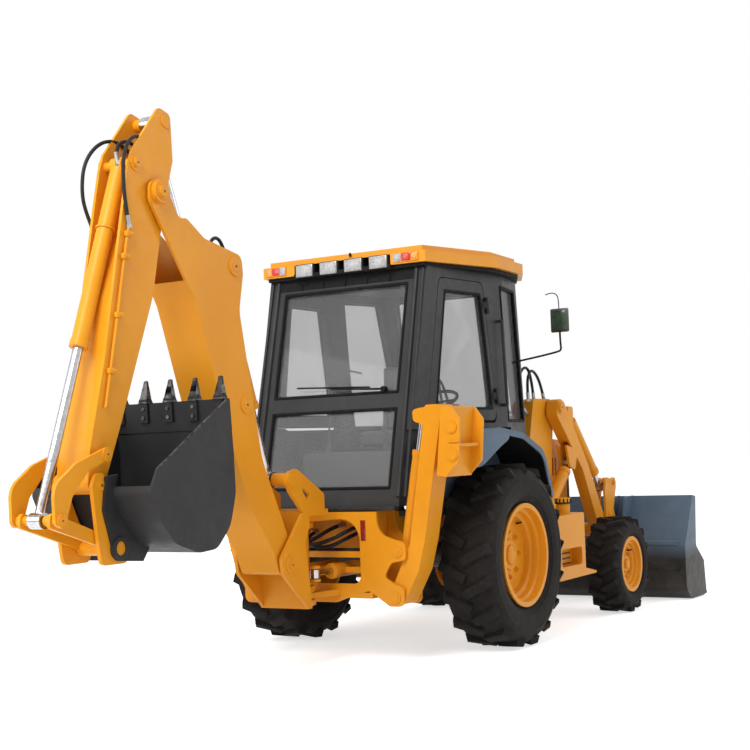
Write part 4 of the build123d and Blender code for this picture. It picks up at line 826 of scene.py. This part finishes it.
def addSeat():
    for name in ("seatCushion", "seatBackrest"):
        piece = addPiece(name, padForm(seat[name]), "seat", "chassis", "grey_plastic", angle=60)
        inflatePad(piece)
    base = bmesh.new()
    addBox(base, (0.085, -0.17, 1.135), (0.395, 0.17, 1.300), 0.012)
    for index in range(seat["bellows"]):
        z = 1.300 + index * seat["bellowsPitch"]
        addBox(base, (0.100, -0.155, z), (0.380, 0.155, z + 0.026), 0.011)
    addBox(base, (0.060, -0.20, 1.478), (0.420, 0.20, 1.502), 0.006)
    stand = addPiece("seatStand", base, "grey_plastic", "chassis")
    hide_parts("operator_seat")


# Steering wheel and column, the front and rear consoles and the backhoe's levers
controls = {"wheel": (0.840, 0.0, 1.850), "tilt": (-0.160, 0, 0.350), "radius": 0.190, "grip": 0.014, "spokes": 3,
            "column": (0.360, 0.030), "levers": (-0.25, 0.25),
            # low corner, high corner, round
            "boxes": (((0.945, -0.165, 1.132), (1.160, 0.165, 1.500), 0.020),
                      ((0.930, -0.150, 1.490), (1.090, 0.150, 1.560), 0.025),
                      ((-0.495, -0.415, 1.132), (-0.285, 0.415, 1.470), 0.025)),
            # a lever's stick, knob and boot: x and z of both ends, radius, segments, end radius
            "lever": ((-0.380, 1.460, -0.345, 1.760, 0.010, 12, 0.008),
                      (-0.348, 1.745, -0.338, 1.835, 0.020, 18, 0.024),
                      (-0.384, 1.455, -0.378, 1.520, 0.034, 18, 0.016))}


def addSteeringWheel():
    axis = Vector(controls["tilt"]).normalized()
    centre = Vector(controls["wheel"])
    turn = axis.to_track_quat("Z", "Y").to_matrix().to_4x4()
    reach = controls["radius"]
    mesh = bmesh.new()
    ring = bmesh.ops.create_circle(mesh, segments=12, radius=controls["grip"],
                                   matrix=Matrix.Translation((reach, 0, 0)) @ Matrix.Rotation(pi / 2, 4, "X"))
    edges = list({edge for vert in ring["verts"] for edge in vert.link_edges})
    bmesh.ops.spin(mesh, geom=ring["verts"] + edges, cent=(0, 0, 0), axis=(0, 0, 1), angle=2 * pi, steps=48,
                   use_merge=True)
    for index in range(controls["spokes"]):
        angle = 2 * pi * index / controls["spokes"]
        addBar(mesh, (0, 0, -0.02), (reach * cos(angle), reach * sin(angle), 0), 0.010, 10)
    addBar(mesh, (0, 0, -0.05), (0, 0, 0.012), 0.038, 24)
    bmesh.ops.transform(mesh, matrix=Matrix.Translation(centre) @ turn, verts=mesh.verts)
    length, radius = controls["column"]
    addBar(mesh, centre - axis * length, centre - axis * 0.03, radius, 20)
    return addPiece("steeringWheel", mesh, "seal", "chassis", "black_paint")


def addConsoles():
    mesh = bmesh.new()
    for low, high, round_ in controls["boxes"]:
        addBox(mesh, low, high, round_)
    for y in controls["levers"]:
        for x0, z0, x1, z1, radius, segments, endRadius in controls["lever"]:
            addBar(mesh, (x0, y, z0), (x1, y, z1), radius, segments, endRadius)
    return addPiece("consoles", mesh, "grey_plastic", "chassis")


def addControls():
    wheelPiece = addSteeringWheel()
    consoles = addConsoles()
    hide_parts("control_console")
    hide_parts("control_console")


addSeat()
addControls()
print("cab inside dressed")


# Mirrors: bent tube arms, rounded green-grey backs and glossy faces, their dark green a painted reflection
mirror = {"x": 1.040, "y": 1.030, "low": 2.338, "high": 2.525, "half": 0.0765, "armRadius": 0.008,
          "stayRadius": 0.004,
          # x, y of the left side, z
          "arm": ((0.86, 0.69, 2.115), (0.95, 0.86, 2.15), (1.03, 1.01, 2.185), (1.045, 1.035, 2.20),
                  (1.04, 1.030, 2.26), (1.04, 1.030, 2.35)),
          "stay": ((1.04, 1.030, 2.510), (1.04, 1.030, 2.580), (1.04, 1.020, 2.635), (1.04, 0.970, 2.655),
                   (1.04, 0.920, 2.640)),
          # the shell's rim and back and the glass: x from, x to, inset, round
          "rim": (-0.006, 0.020, 0.0, 0.012), "back": (-0.020, 0.004, 0.012, 0.010),
          "glass": (-0.0215, -0.012, 0.018, 0.002)}


def addMirrors():
    arms = bmesh.new()
    backs = bmesh.new()
    faces = bmesh.new()
    for side, word in sides:
        for route, radius in (("arm", mirror["armRadius"]), ("stay", mirror["stayRadius"])):
            addTube(arms, [(x, side * y, z) for x, y, z in mirror[route]], radius, f"{word}Mirror{route.title()}")
        y = side * mirror["y"]
        for mesh, layer in ((backs, "rim"), (backs, "back"), (faces, "glass")):
            rear, front, inset, round_ = mirror[layer]
            half = mirror["half"] - inset
            addBox(mesh, (mirror["x"] + rear, y - half, mirror["low"] + inset),
                   (mirror["x"] + front, y + half, mirror["high"] - inset), round_)
    tubes = addPiece("mirrorArms", arms, "seal", "chassis", "black_paint")
    shells = addPiece("mirrorShells", backs, "mirror", "chassis", "black_paint")
    # the glass's dark green is a painted reflection
    addPiece("mirrorGlass", faces, "face", "chassis", "chrome_rod")
    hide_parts("mirrors")
    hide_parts("mirrors")


addMirrors()
print("mirrors made")


# Heads of the pins at each pivot: pivot, body, half width, radius
pinHeads = (
    ("arm_lift", "chassis", 0.616, 0.040), ("lift_barrel_swing", "chassis", 0.616, 0.030),
    ("bucket_tilt", "loader_bucket", 0.636, 0.030), ("lever_swing", "tilt_levers", 0.636, 0.030),
    ("link_swing", "tilt_levers", 0.636, 0.026), ("boom_lower", "swing_post", 0.207, 0.035),
    ("boom_barrel_swing", "boom", 0.165, 0.040), ("dipper_barrel_swing", "boom", 0.165, 0.038),
    ("dipper_open", "boom", 0.200, 0.038), ("bucket_barrel_swing", "dipper", 0.140, 0.030),
    ("guide_swing", "guide_links", 0.180, 0.028), ("bucket_link_swing", "guide_links", 0.180, 0.028),
    ("bucket_curl", "digging_bucket", 0.158, 0.032),
)
pinHead = {"sunk": 0.014, "proud": 0.003, "share": 0.92, "faceShare": 0.88, "collar": 1.3, "collarDepth": 0.005,
           "bolt": 0.2}


def addPinHeads():
    byBody = {}
    for name, body, half, radius in pinHeads:
        if body not in byBody:
            byBody[body] = (bmesh.new(), bmesh.new())
        heads, grease = byBody[body]
        foot = half - pinHead["sunk"]
        for side in (1, -1):
            def at(out):
                return (pivots[name][0], side * out, pivots[name][2])

            addBar(heads, at(foot + 0.002), at(half + pinHead["proud"]), radius * pinHead["share"], 32,
                   radius * pinHead["faceShare"])
            addBar(heads, at(foot), at(foot + pinHead["collarDepth"]), radius * pinHead["collar"], 32)
            addBar(grease, at(half + 0.001), at(half + 0.006), radius * pinHead["bolt"], 12)
    for body, (heads, grease) in byBody.items():
        word = body.title().replace("_", "")
        addPiece(f"{word}PinHeads", heads, "yellow_paint", body)
        addPiece(f"{word}GreaseNipples", grease, "worn", body, "dark_steel")


addPinHeads()

# Wear parts: the digging bucket's teeth and mouth, and the loader bucket's cutting edge
tooth = {"count": 5, "pitch": 0.194, "foot": (-2.555, 1.826), "point": (-2.541, 1.964),
         # share of the way to the point, half width, half thickness
         "stations": ((0.0, 0.031, 0.026), (0.25, 0.027, 0.021), (0.5, 0.022, 0.016), (0.75, 0.016, 0.010),
                      (1.0, 0.005, 0.003)),
         "bolts": (1.730, 1.785)}
# side of the digging bucket's mouth, from the ear to the lip: x, z
mouthEdge = ((-3.244, 1.419), (-2.852, 1.648), (-2.570, 1.812))
mouthSeam = {"half": 0.442, "radius": 0.0075, "back": (-2.541, 1.638), "backHalf": 0.430, "backRadius": 0.006}
loaderEdge = {"half": 1.180, "rear": 3.700, "front": 3.798, "low": 0.012, "high": 0.030, "bolts": 9,
              "boltRadius": 0.016, "boltInset": 0.09}


def addTooth(mesh, y):
    # a cap that narrows to a chisel point, with a collar, two bolts and a keeper pin
    foot, point = (Vector((tooth[end][0], y, tooth[end][1])) for end in ("foot", "point"))
    corners = ((-1, -1), (1, -1), (1, 1), (-1, 1))
    top = mesh.faces.new([mesh.verts.new((thick, wide, 0)) for thick, wide in corners])
    for share, wide, thick in tooth["stations"]:
        if share:
            grown = bmesh.ops.extrude_face_region(mesh, geom=[top])["geom"]
            top = next(item for item in grown if isinstance(item, bmesh.types.BMFace))
        spot = foot.lerp(point, share)
        centre = top.calc_center_median()
        for vert in top.verts:
            vert.co = Vector((spot.x + (thick if vert.co.x > centre.x else -thick),
                              y + (wide if vert.co.y > centre.y else -wide), spot.z))
    addBox(mesh, (-2.588, y - 0.034, 1.818), (-2.520, y + 0.034, 1.832), 0.004)
    for z in tooth["bolts"]:
        addBar(mesh, (-2.585, y, z), (-2.518, y, z), 0.012, 12)
    addBar(mesh, (-2.553, y - 0.037, 1.850), (-2.553, y + 0.037, 1.850), 0.006, 10)


def addDiggingTrim():
    teeth = bmesh.new()
    for index in range(tooth["count"]):
        addTooth(teeth, (index - (tooth["count"] - 1) / 2) * tooth["pitch"])
    addPiece("diggingTeeth", teeth, "worn", "digging_bucket", "charcoal_paint")
    seam = bmesh.new()
    for y in (mouthSeam["half"], -mouthSeam["half"]):
        for (x0, z0), (x1, z1) in zip(mouthEdge, mouthEdge[1:]):
            addBar(seam, (x0, y, z0), (x1, y, z1), mouthSeam["radius"], 10)
    (x, z), half = mouthSeam["back"], mouthSeam["backHalf"]
    addBar(seam, (x, -half, z), (x, half, z), mouthSeam["backRadius"], 10)
    addPiece("bucketEdges", seam, "worn", "digging_bucket", "charcoal_paint")


def addLoaderEdge():
    mesh = bmesh.new()
    half, rear = loaderEdge["half"], loaderEdge["rear"]
    x = rear + 0.030
    addBox(mesh, (rear, -half, loaderEdge["low"]), (loaderEdge["front"], half, loaderEdge["high"]), 0.004)
    for index in range(loaderEdge["bolts"]):
        y = (index / (loaderEdge["bolts"] - 1) * 2 - 1) * (half - loaderEdge["boltInset"])
        addBar(mesh, (x, y, 0.026), (x, y, 0.046), loaderEdge["boltRadius"], 12)
    addPiece("loaderEdge", mesh, "worn", "loader_bucket", "slate_paint")


addDiggingTrim()
addLoaderEdge()
print("pins and wear parts made")

# Hydraulic hoses: at the dipper's head, the boom's knee, the swing frame and the loader
dipperHoses = [
    [(-2.700, -0.060, 3.300), (-2.790, -0.085, 3.395), (-2.940, -0.105, 3.400), (-3.050, -0.120, 3.280),
     (-3.070, -0.128, 3.080), (-3.055, -0.132, 2.940), (-3.040, -0.134, 2.850)],
    [(-2.700, 0.010, 3.290), (-2.790, 0.010, 3.380), (-2.900, 0.000, 3.385), (-2.990, -0.010, 3.330),
     (-2.985, -0.018, 3.245)],
    [(-2.700, 0.070, 3.300), (-2.790, 0.095, 3.395), (-2.950, 0.125, 3.400), (-3.090, 0.150, 3.260),
     (-3.120, 0.155, 3.060), (-3.090, 0.140, 2.920), (-3.050, 0.120, 2.820)],
]
kneeHoses = [
    [(-2.200, y, 2.700), (-2.190, y, 2.830), (-2.110, y, 2.885), (-2.035, y, 2.830), (-2.000, y, 2.720)]
    for y in (0.068, -0.068)
]
frameHoses = [
    [(-0.700, 0.250, 0.940), (-0.850, 0.230, 0.910), (-0.960, 0.150, 0.840), (-0.980, 0.020, 0.820),
     (-0.950, -0.120, 0.860), (-0.840, -0.210, 0.930), (-0.700, -0.240, 0.950)],
    [(-0.700, 0.180, 0.900), (-0.860, 0.160, 0.870), (-0.950, 0.060, 0.810), (-0.940, -0.080, 0.800),
     (-0.860, -0.180, 0.860), (-0.700, -0.200, 0.900)],
    [(-0.700, 0.290, 0.860), (-0.830, 0.280, 0.820), (-0.930, 0.200, 0.800), (-0.900, 0.060, 0.860),
     (-0.800, -0.020, 0.930), (-0.700, -0.050, 0.950)],
]


def loaderHoses(side):
    y = side * 0.440
    return [
        [(1.440, y, 1.560), (1.390, y, 1.680), (1.440, y, 1.900), (1.560, y, 2.100), (1.700, y, 2.120),
         (1.770, y, 1.980), (1.790, y, 1.850)],
        [(1.640, y + side * 0.02, 1.850), (1.620, y + side * 0.02, 1.990), (1.700, y + side * 0.02, 2.100),
         (1.820, y + side * 0.02, 2.060), (1.910, y + side * 0.02, 1.950), (1.950, y + side * 0.02, 1.850)],
        [(1.430, y, 1.480), (1.380, y, 1.560), (1.390, y, 1.700), (1.470, y, 1.790), (1.560, y, 1.790),
         (1.620, y, 1.740)],
    ]


addHoses("dipperHoses", dipperHoses, 0.0115, "dipper")
addHoses("kneeHoses", kneeHoses, 0.0115, "boom")
addHoses("frameHoses", frameHoses, 0.014, "chassis")
for side, word in sides:
    addHoses(f"{word}LoaderHoses", loaderHoses(side), 0.012, "chassis")
print("hoses laid")

# A steel pipe down the dipper's rear edge, under the hose, in yellow clamps
dipperPipe = {"route": [(-3.040, -0.134, 2.850), (-3.080, -0.134, 2.700), (-3.190, -0.134, 2.220),
                        (-3.300, -0.134, 1.780)],
              "radius": 0.009, "clamps": (0.12, 0.36, 0.60, 0.84)}


def addPipe():
    pipe = bmesh.new()
    addTube(pipe, dipperPipe["route"], dipperPipe["radius"], "dipperPipeLine")
    addPiece("dipperPipe", pipe, "yellow_paint", "dipper")
    clamps = bmesh.new()
    route = [Vector(point) for point in dipperPipe["route"]]
    for share in dipperPipe["clamps"]:
        reach = share * (len(route) - 1)
        index = int(reach)
        spot = route[index].lerp(route[index + 1], reach - index)
        addBox(clamps, spot - Vector((0.020, 0.014, 0.016)), spot + Vector((0.038, 0.012, 0.016)), 0.004)
        addBar(clamps, spot + Vector((0.024, -0.022, 0)), spot + Vector((0.024, 0.008, 0)), 0.007, 6)
    addPiece("pipeClamps", clamps, "yellow_paint", "dipper")


addPipe()

# Round bosses (y, z) and a ridge (y from, y to, z) on the stabilisers' pads
padBoss = {"radius": 0.040, "face": -0.980, "spots": ((1.108, 1.610), (1.110, 1.425)), "ridge": (1.083, 1.160, 1.508),
           # from, to, share of the radius
           "steps": ((0.012, -0.010, 1.0), (-0.008, -0.013, 0.80))}


def addStabiliserTrim(side, word):
    mesh = bmesh.new()
    face = padBoss["face"]
    for y, z in padBoss["spots"]:
        for start, end, share in padBoss["steps"]:
            addBar(mesh, (face + start, side * y, z), (face + end, side * y, z), padBoss["radius"] * share, 40)
    inner, outer, z = padBoss["ridge"]
    addBox(mesh, (face - 0.012, side * inner, z), (face + 0.004, side * outer, z + 0.011), 0.003)
    addPiece(f"{word}PadBosses", mesh, "yellow_paint", f"{word}_stabiliser")


# The fender's outer skirt, deepest at the rear: x, low z, high z
skirt = {"y": 1.046, "flare": 0.022, "thick": 0.006,
         "stations": ((-0.590, 1.330, 1.380), (-0.500, 1.318, 1.500), (-0.400, 1.345, 1.560),
                      (-0.280, 1.405, 1.575), (-0.140, 1.470, 1.585), (0.020, 1.520, 1.575))}


def addSkirts():
    mesh = bmesh.new()
    for side in (1, -1):
        foot = [mesh.verts.new((x, side * (skirt["y"] + skirt["flare"]), low)) for x, low, high in skirt["stations"]]
        top = [mesh.verts.new((x, side * skirt["y"], high)) for x, low, high in skirt["stations"]]
        edges = [mesh.edges.new(pair) for row in (foot, top) for pair in zip(row, row[1:])]
        made = bmesh.ops.bridge_loops(mesh, edges=edges)
        bmesh.ops.recalc_face_normals(mesh, faces=made["faces"])
        bmesh.ops.solidify(mesh, geom=made["faces"], thickness=skirt["thick"])
    piece = addPiece("fenderSkirts", mesh, "slate_paint", "chassis", angle=60)
    smoothing = piece.modifiers.new("round", "SUBSURF")
    smoothing.levels = smoothing.render_levels = 2


# Weld ring round the bucket cylinder's barrel, hollow so that the rod slides through
barrelRing = {"at": 0.42, "radius": 0.0585, "width": 0.010, "wall": 0.005}


def addBarrelRing():
    start, end = pivots["bucket_barrel_swing"], pivots["bucket_link_swing"]
    way = (end - start).normalized()
    out = way.cross(Vector((0, 1, 0))).normalized()
    spot = start + way * barrelRing["at"]
    outer, width = barrelRing["radius"], barrelRing["width"]
    inner = outer - barrelRing["wall"]
    mesh = bmesh.new()
    verts = [mesh.verts.new(spot + way * along + out * radius)
             for along, radius in ((0, inner), (0, outer), (width, outer), (width, inner))]
    edges = [mesh.edges.new(pair) for pair in zip(verts, verts[1:] + verts[:1])]
    bmesh.ops.spin(mesh, geom=verts + edges, cent=spot, axis=way, angle=2 * pi, steps=48, use_merge=True)
    addPiece("barrelSeam", mesh, "yellow_paint", "bucket_barrel")


# Dark red reflectors low on the rear frame
reflector = {"y": 0.362, "half": 0.020, "rear": -0.935, "front": -0.928, "low": 0.850, "high": 0.992}


def addReflectors():
    mesh = bmesh.new()
    for side in (1, -1):
        y = side * reflector["y"]
        addBox(mesh, (reflector["rear"], y - reflector["half"], reflector["low"]),
               (reflector["front"], y + reflector["half"], reflector["high"]), 0.003)
    addPiece("rearReflectors", mesh, "maroon", "chassis", "grey_plastic")


# Side tanks: step treads, bars in the step's pocket, and a ribbed filler cap
tankTrim = {"treads": 7, "treadPitch": 0.026, "bars": 4, "barPitch": 0.040, "cap": (1.305, 0.880), "capRadius": 0.066,
            "ribs": 12, "ribCircle": 0.061, "ribRadius": 0.006}


def addTankTrim():
    steps = bmesh.new()
    caps = bmesh.new()
    for side in (1, -1):
        for index in range(tankTrim["treads"]):
            x = 1.450 + index * tankTrim["treadPitch"]
            addBox(steps, (x, side * 0.70, 0.424), (x + 0.012, side * 0.98, 0.445 - index * 0.001), 0.002)
        for index in range(tankTrim["bars"]):
            z = 0.505 + index * tankTrim["barPitch"]
            addBox(steps, (1.010, side * 0.905, z), (1.330, side * 0.915, z + 0.014), 0.002)
        x, y = tankTrim["cap"][0], side * tankTrim["cap"][1]
        addBar(caps, (x, y, 0.985), (x, y, 0.996), tankTrim["capRadius"], 32)
        for index in range(tankTrim["ribs"]):
            angle = 2 * pi * index / tankTrim["ribs"]
            spot = (x + tankTrim["ribCircle"] * cos(angle), y + tankTrim["ribCircle"] * sin(angle))
            addBar(caps, (*spot, 0.994), (*spot, 1.024), tankTrim["ribRadius"], 8)
    addPiece("stepTreads", steps, "dark_steel", "chassis")
    addPiece("fillerCaps", caps, "seal", "chassis", "black_paint")


# Sill under the cab's rear, with a row of bolts
sill = {"half": 0.600, "rear": -0.905, "front": -0.830, "low": 1.056, "high": 1.086, "bolts": 9, "pitch": 0.125}


def addUnderCab():
    mesh = bmesh.new()
    addBox(mesh, (sill["rear"], -sill["half"], sill["low"]), (sill["front"], sill["half"], sill["high"]), 0.006)
    for index in range(sill["bolts"]):
        y = (index - (sill["bolts"] - 1) / 2) * sill["pitch"]
        addBar(mesh, (sill["rear"] - 0.007, y, 1.070), (sill["rear"] + 0.003, y, 1.070), 0.010, 6)
    addPiece("cabSill", mesh, "black_paint", "chassis")


for side, word in sides:
    addStabiliserTrim(side, word)
addSkirts()
addBarrelRing()
addReflectors()
addTankTrim()
addUnderCab()
print("trim made")


# White floor that keeps the machine's shadow, and soft lamps round it
lamps = (
    # name, place, size, watts
    ("keyLamp", (-9.0, -1.0, 9.0), 5.0, 900),
    ("rearLamp", (-10.0, 5.0, 5.0), 5.0, 250),
    ("fillLamp", (6.0, -8.0, 6.0), 6.0, 220),
)
surroundings = {"light": 0.50, "floorGlow": 0.62}


# 1 where the camera, a reflection or clear glass looks straight at it, else 0
def seenDirectly(tree):
    paths = tree.nodes.new("ShaderNodeLightPath")
    seen = paths.outputs["Is Camera Ray"]
    for ray in ("Is Glossy Ray", "Is Transmission Ray"):
        seen = mathNode(tree, "MAXIMUM", seen, paths.outputs[ray])
    return seen


def addFloor():
    mesh = bmesh.new()
    bmesh.ops.create_grid(mesh, x_segments=1, y_segments=1, size=60)
    data = bpy.data.meshes.new("floor")
    mesh.to_mesh(data)
    mesh.free()
    floor = bpy.data.objects.new("floor", data)
    scene.collection.objects.link(floor)
    material, tree, shader, coords = startMaterial("floorWhite", 0.9)
    grain = noiseNode(tree, coords, 40, 2)
    rampInto(tree, grain, [(0.3, (0.93, 0.93, 0.93)), (0.7, (0.96, 0.96, 0.96))], shader.inputs["Base Color"])
    glow = mathNode(tree, "MULTIPLY", seenDirectly(tree), surroundings["floorGlow"])
    tree.links.new(glow, shader.inputs["Emission Strength"])
    shader.inputs["Emission Color"].default_value = (1, 1, 1, 1)
    floor.data.materials.append(material)


def addWorld():
    world = bpy.data.worlds.new("studio")
    world.use_nodes = True
    tree = world.node_tree
    background = tree.nodes["Background"]
    strength = tree.nodes.new("ShaderNodeMapRange")
    strength.inputs["To Min"].default_value = surroundings["light"]
    strength.inputs["To Max"].default_value = 1.0
    tree.links.new(seenDirectly(tree), strength.inputs["Value"])
    tree.links.new(strength.outputs["Result"], background.inputs["Strength"])
    background.inputs["Color"].default_value = (1, 1, 1, 1)
    scene.world = world


def addLamps():
    target = Vector((-0.5, 0, 1.3))
    for name, place, size, watts in lamps:
        data = bpy.data.lights.new(name, "AREA")
        data.energy = watts
        data.size = size
        lamp = bpy.data.objects.new(name, data)
        scene.collection.objects.link(lamp)
        turn = (target - Vector(place)).to_track_quat("-Z", "Y").to_matrix().to_4x4()
        lamp.matrix_world = Matrix.Translation(place) @ turn


addFloor()
addWorld()
addLamps()
scene.view_settings.view_transform = "Standard"
print("stage lit")
